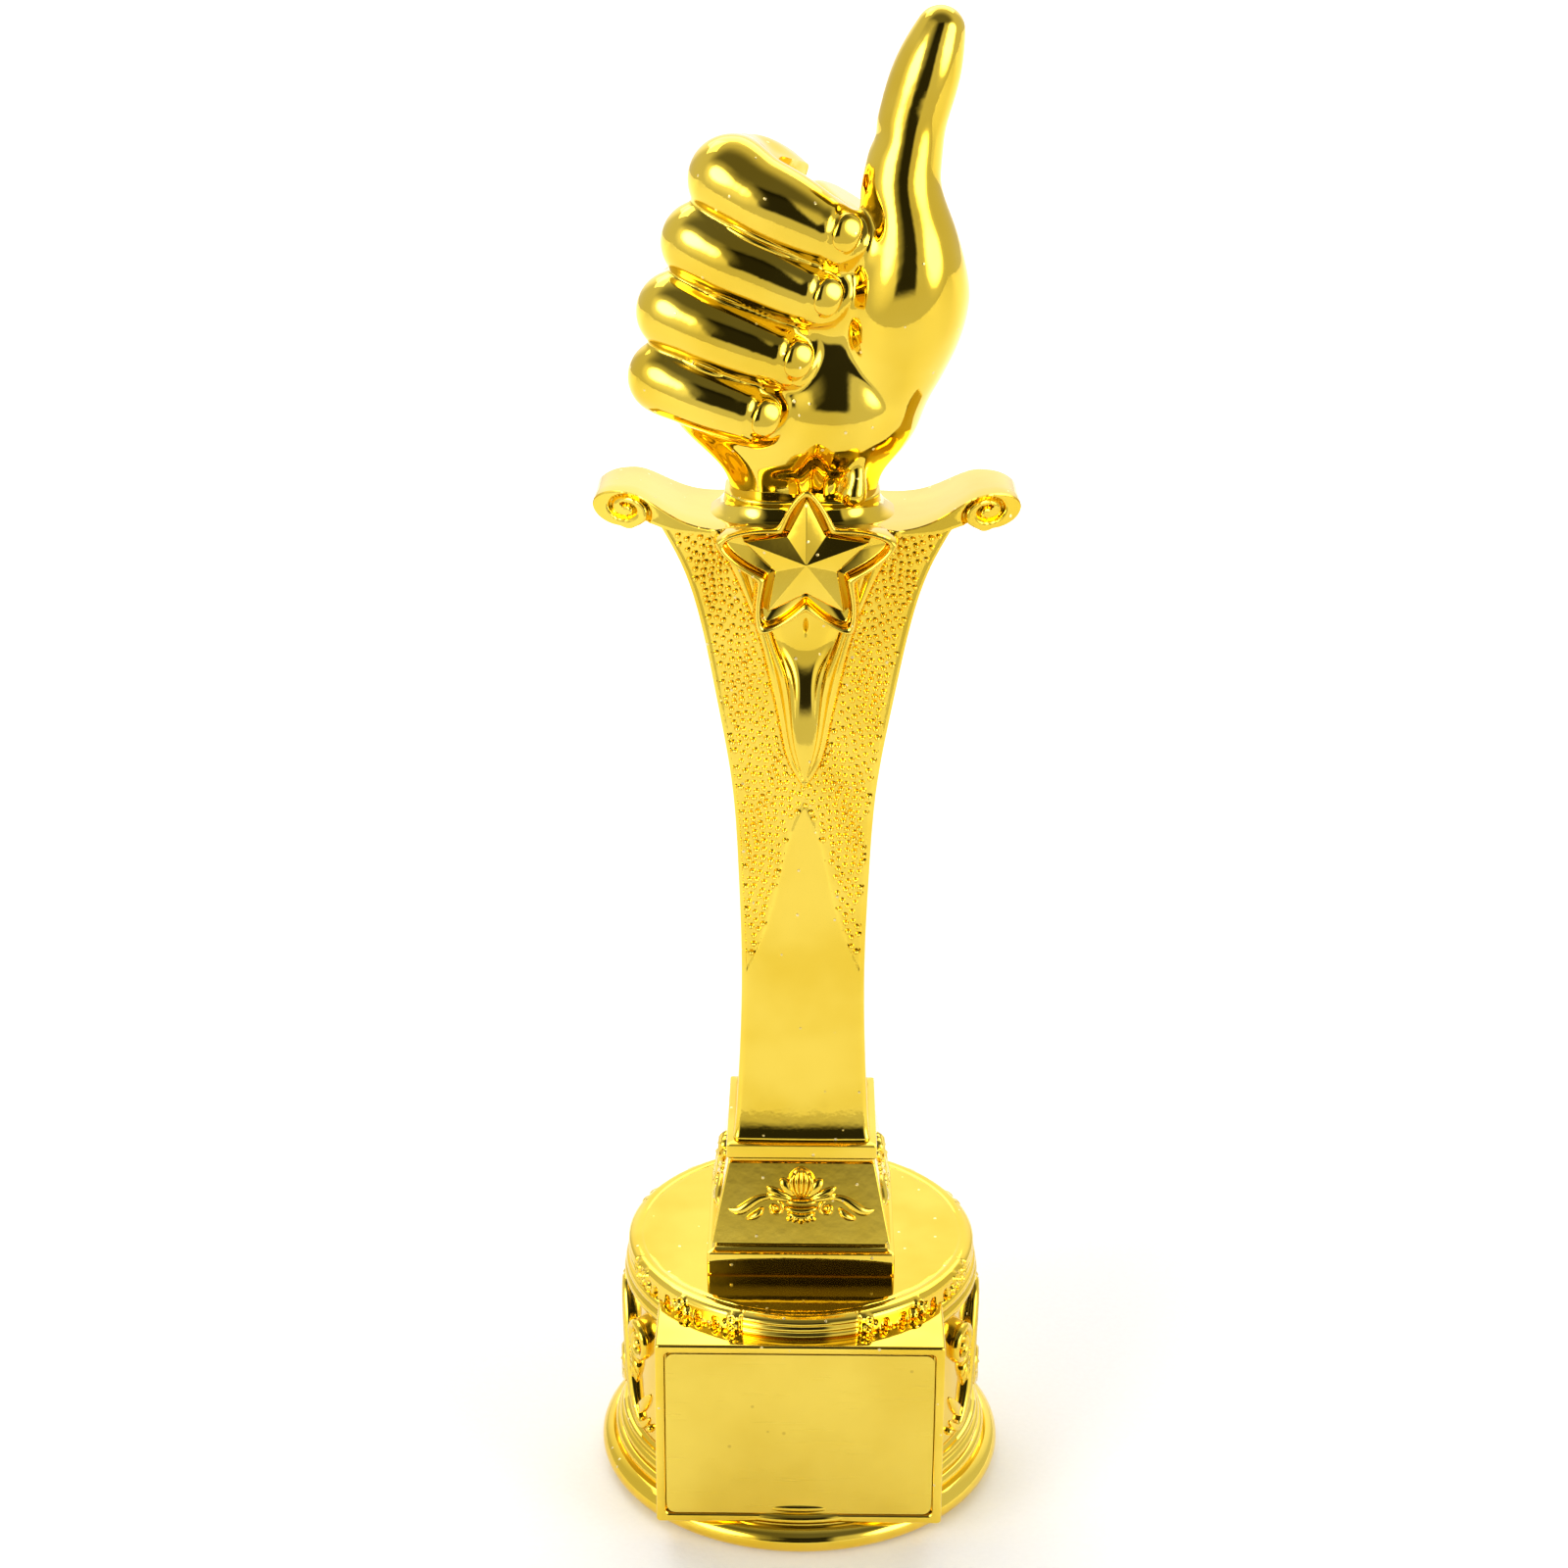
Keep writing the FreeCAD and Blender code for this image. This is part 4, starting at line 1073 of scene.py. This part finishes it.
thumb = [(21.8, -3.0, 281.1, 4.3), (19.6, -3.5, 274.2, 5.85), (17.5, -4.0, 267.0, 5.95), (16.4, -4.6, 261.0, 6.3),
         (15.7, -5.4, 255.0, 6.95), (16.4, -6.2, 248.6, 8.2), (17.0, -6.6, 242.0, 9.7), (16.0, -6.2, 234.6, 10.4),
         (14.4, -5.0, 228.4, 9.2)]
# The palm and wrist: level, middle x, half width, half depth, middle y.
palm_levels = np.array([(199.0, -0.5, 12.9, 9.6, 0.0), (205.0, -0.8, 14.6, 10.2, 0.4), (211.0, -2.2, 19.4, 11.6, 1.2),
                        (217.6, -2.6, 23.0, 12.6, 1.8), (226.0, -0.8, 24.6, 13.2, 2.0), (236.0, 1.0, 25.2, 13.2, 2.0),
                        (246.0, 2.0, 21.5, 12.6, 2.2), (254.0, 1.5, 14.0, 11.0, 3.0), (262.0, 1.0, 9.0, 9.0, 3.5)])
palm_at = [curve(np.stack([palm_levels[:, 0], palm_levels[:, k]], axis=1)) for k in range(1, 5)]
heel = ((5.0, -1.5, 217.0), (13.5, 12.6, 11.5))        # the palm's heel: middle, half sizes
# Nails: middle, direction along the finger and outward normal; half length, half width.
nail_places = [((6.7, -15.4, 249.4), (0.86, -0.12, -0.30), (0.36, -0.92, 0.12)),
               ((3.6, -15.6, 238.6), (0.88, -0.12, -0.30), (0.36, -0.92, 0.12)),
               ((-1.4, -15.3, 227.7), (0.88, -0.12, -0.30), (0.36, -0.92, 0.12)),
               ((-6.9, -14.4, 217.2), (0.88, -0.12, -0.30), (0.36, -0.92, 0.12))]
nail_half = (2.6, 3.5)
limbs = ([limb(knots) for knots in fingers],
         [limb([knots[0], (knots[0][0] + 1.0, 3.0, knots[0][2] - 0.8, knots[0][3] + 0.2),
                (knots[0][0] + 4.5, 11.0, knots[0][2] - 3.0, knots[0][3] - 0.3)], 10) for knots in fingers],
         limb(thumb, 34))


def nail_axes(place):
    middle, along, out = (Vector(part) for part in place)
    out.normalize()
    along = (along - along.dot(out) * out).normalized()
    return middle, along, out.cross(along), out


nails = [nail_axes(place) for place in nail_places]


def hand_distance(points):
    """About the distance to the hand's surface; negative inside."""
    x, y, z = points.T
    middle, half_x, half_y, deep = (at(z) for at in palm_at)
    oval = (np.abs((x - middle) / half_x) ** 2.3 + np.abs((y - deep) / half_y) ** 2.3) ** (1 / 2.3)
    body = (oval - 1) * np.minimum(half_x, half_y) * 0.9
    body = -soft_least(-body, -((x + 5.6) * 0.53 + (z - 260.0) * 0.85), 5.0)      # the slope of its top
    lump = np.sqrt((((points - np.array(heel[0])) / np.array(heel[1])) ** 2).sum(axis=1))
    body = soft_least(body, (lump - 1) * 12.0, 5.0)
    body = soft_least(body, limb_distance(points, limbs[2], 8.0), 1.3 + 5.0 * step_between(10.0, 18.0, x))
    body = body + wrist_hollow(x, y, z)
    body = soft_least(body, limb_distance(points, tendon), 1.2)
    body = body + 1.0 * np.exp(-((x - 10.4) / 1.9) ** 2 - ((z - 250.8) / 3.0) ** 2) * step_between(-2.0, -5.5, y)
    body = body + 0.45 * np.exp(-((x - 11.0) / 2.2) ** 2 - ((z - 264.0) / 1.8) ** 2)
    body = np.maximum(body, 199.4 - z)
    folded = np.full(len(points), 1e9)
    for finger, back in zip(limbs[0], limbs[1]):
        whole = soft_least(limb_distance(points, finger, 7.0), limb_distance(points, back, 7.0), 2.5)
        folded = soft_least(folded, whole, 1.2)
    reach = 1.4 + 2.4 * step_between(1.0, 6.0, x) * step_between(222.0, 230.0, z)
    body = soft_least(body, folded, reach + 2.6 * step_between(1.0, 7.0, y))
    for centre, along, across, out in nails:
        local = points - np.array(centre)
        a, b, c = (local @ np.array(axis) for axis in (along, across, out))
        reach = (np.abs(a / nail_half[0]) ** 2.4 + np.abs(b / nail_half[1]) ** 2.4) ** (1 / 2.4)
        near = (np.abs(c) < 3.5) * 1.0
        body = body + near * (0.42 * np.exp(-((reach - 1.08) / 0.15) ** 2)
                              - 0.18 * np.exp(-((reach - 1.46) / 0.18) ** 2))
    return body


tendon = limb([(8.9, -9.4, 208.0, 1.3), (8.6, -9.8, 204.6, 1.9), (8.2, -10.2, 202.4, 2.4)], 8)


def wrist_hollow(x, y, z):
    """Depth of the hollow between the heel and the wrist's lip, with its upright folds."""
    brow = 205.4 + 3.2 * np.exp(-((x - 1.5) / 1.9) ** 2)
    within = step_between(-8.8, -4.6, x) * (1 - step_between(4.6, 7.8, x))
    level = step_between(brow + 1.9, brow - 1.7, z)
    folds = 0.95 + 0.5 * np.exp(-((x - 0.4) / 1.7) ** 2) - 0.45 * np.exp(-((x - 3.6) / 0.9) ** 2)
    left = np.exp(-((x + 13.0 + 0.55 * (z - 206.0)) / 1.9) ** 2 - ((z - 207.0) / 4.0) ** 2)
    right = np.exp(-((x - 12.4) / 2.2) ** 2 - ((z - 205.0) / 4.5) ** 2)
    return step_between(0.0, -6.0, y) * (within * level * folds + 0.7 * left + 0.5 * right)


def settle(points, distance, steps=1):
    """Moves points onto the surface where the distance is nought."""
    small = 0.05
    for _ in range(steps):
        here = distance(points)
        slope = np.stack([(distance(points + shift) - here) / small for shift in np.eye(3) * small], axis=1)
        steep = np.maximum((slope * slope).sum(axis=1), 0.15)
        points = points - np.clip(here / steep, -1.5, 1.5)[:, None] * slope
    return points


def relax(points, edges, share=0.5):
    """Draws points toward the middle of their neighbours."""
    total, count = np.zeros_like(points), np.zeros(len(points))
    for a, b in ((edges[:, 0], edges[:, 1]), (edges[:, 1], edges[:, 0])):
        count += np.bincount(a, minlength=len(points))
        for axis in range(3):
            total[:, axis] += np.bincount(a, weights=points[b, axis], minlength=len(points))
    return points + share * (total / count[:, None] - points)


def hand():
    bm = bmesh.new()
    for x, y, z, radius in np.concatenate([beads[::2] for beads in limbs[0] + limbs[1] + [limbs[2], tendon]]):
        bmesh.ops.create_icosphere(bm, subdivisions=3, radius=radius, matrix=Matrix.Translation((x, y, z)))
    shape = Matrix.Translation(heel[0]) @ Matrix.Diagonal((*heel[1], 1.0))
    bmesh.ops.create_icosphere(bm, subdivisions=4, radius=1.0, matrix=shape)
    rings = []
    for z in np.linspace(199.4, 246.0, 38):
        middle, half_x, half_y, deep = (float(at(z)) for at in palm_at)
        rings.append((half_x, half_y, min(half_x, half_y) * 0.75, z, middle, deep))
    table = np.array(rings)

    def to_space(x, y, level):
        row = np.clip(np.searchsorted(table[:, 3], level), 0, len(table) - 1)
        return x + table[row, 4], y + table[row, 5], level
    ringed(bm, [ring[:4] for ring in rings], to_space, corner_steps=8)
    bmesh.ops.remove_doubles(bm, verts=bm.verts, dist=1e-4)
    bmesh.ops.recalc_face_normals(bm, faces=bm.faces)
    rough = bpy.data.meshes.new("hand_rough")
    bm.to_mesh(rough)
    bm.free()
    maker = bpy.data.objects.new("hand_rough", rough)
    bpy.context.scene.collection.objects.link(maker)
    remesh = maker.modifiers.new("voxels", "REMESH")
    remesh.mode, remesh.voxel_size = "VOXEL", 0.45
    skin = bpy.data.meshes.new_from_object(maker.evaluated_get(bpy.context.evaluated_depsgraph_get()))
    bpy.data.objects.remove(maker)
    bpy.data.meshes.remove(rough)
    count = len(skin.vertices)
    points, edges = np.empty(count * 3), np.empty(len(skin.edges) * 2, int)
    skin.vertices.foreach_get("co", points)
    skin.edges.foreach_get("vertices", edges)
    points, edges = points.reshape(-1, 3), edges.reshape(-1, 2)
    for _ in range(6):
        points = relax(settle(points, hand_distance), edges)
    points = settle(relax(settle(points, hand_distance), edges, 0.3), hand_distance, 3)
    for _ in range(4):
        points = relax(points, edges)
    skin.vertices.foreach_set("co", (points * MM).ravel())
    skin.name = "hand"
    return finished("hand", skin, gold, 0, ("hand_front_shell", "hand_rear_shell"))


def nail_plates():
    """Domed plates set into the fingertips."""
    bm = bmesh.new()
    for centre, along, across, out in nails:
        spot = settle(np.array([centre]), hand_distance, 6)[0]

        def place(u, v, spot=spot, along=along, across=across, out=out):
            reach = np.clip(v, 0, 1)
            turn = 2 * np.pi * u
            stretch = (np.abs(np.cos(turn)) ** 2.5 + np.abs(np.sin(turn)) ** 2.5) ** (-1 / 2.5)
            a = nail_half[0] * 0.93 * reach * stretch * np.cos(turn)
            b = nail_half[1] * 0.93 * reach * stretch * np.sin(turn)
            rise = 0.45 * np.sqrt(np.clip(1 - reach ** 4, 0, 1)) - 0.055 * b * b - 0.03 * a * a
            rise = np.where(v > 1, rise - 1.0, rise)
            a, b = np.where(v > 2, 0, a), np.where(v > 2, 0, b)
            spots = (spot[:, None] + np.array(along)[:, None] * a + np.array(across)[:, None] * b
                     + np.array(out)[:, None] * rise)
            return spots[0], spots[1], spots[2]
        vs = np.concatenate([np.sin(np.linspace(0, np.pi / 2, 12)), [1.5, 2.5]])
        surface(bm, np.linspace(0, 1, 41), vs, place)
    return piece("nails", bm, gold_fine, sharp=50)


def clefts():
    """Twin folds of skin in the clefts between the fingers."""
    bm = bmesh.new()
    for upper, lower in zip(fingers, fingers[1:]):
        for side in (-0.55, 0.55):
            knots = []
            for number, (a, b) in enumerate(zip(upper[:4], lower[:4])):
                share, apart = a[3] / (a[3] + b[3]), math.dist(a[:3], b[:3])
                down = (Vector(b[:3]) - Vector(a[:3])) / apart
                rise = math.sqrt(max(a[3] ** 2 - (share * apart) ** 2, 0)) + 0.45
                spot = Vector(a[:3]) + down * (share * apart + side) + Vector((0, -rise, 0))
                knots.append((*spot, (0.82, 0.7, 0.55, 0.3)[number]))
            tube(bm, limb(knots, 30))
    return piece("clefts", bm, gold_fine, sharp=0)


def tube(bm, beads, sides=12):
    """A round bar along a string of beads, closed at its ends."""
    ahead = np.gradient(beads[:, :3], axis=0)
    ahead /= np.linalg.norm(ahead, axis=1, keepdims=True)
    first = np.cross(ahead, (0.0, -1.0, 0.0))
    first /= np.linalg.norm(first, axis=1, keepdims=True)
    second = np.cross(ahead, first)

    def place(u, v):
        k = np.clip(np.rint(v).astype(int), 0, len(beads) - 1)
        size = np.where((v < 0) | (v > len(beads) - 1), 0, beads[k, 3])[:, None]
        turn = (2 * np.pi * u)[:, None]
        spots = beads[k, :3] + size * (first[k] * np.cos(turn) + second[k] * np.sin(turn))
        return spots[:, 0], spots[:, 1], spots[:, 2]
    surface(bm, np.linspace(0, 1, sides + 1), np.arange(-1, len(beads) + 1), place)


finish_cad_nodes()
plinth_drum()
rim_ornament()
drum_relief()
plaque_block()
pedestal()
pedestal_relief()
column()
pebbles("pebbles_front", front_y, -1, True, 11)
pebbles("pebbles_back", back_y, 1, False, 12)
vee_panel()
star_frame()
star()
collar()
neck()
hand()
nail_plates()
clefts()
camera()
studio()
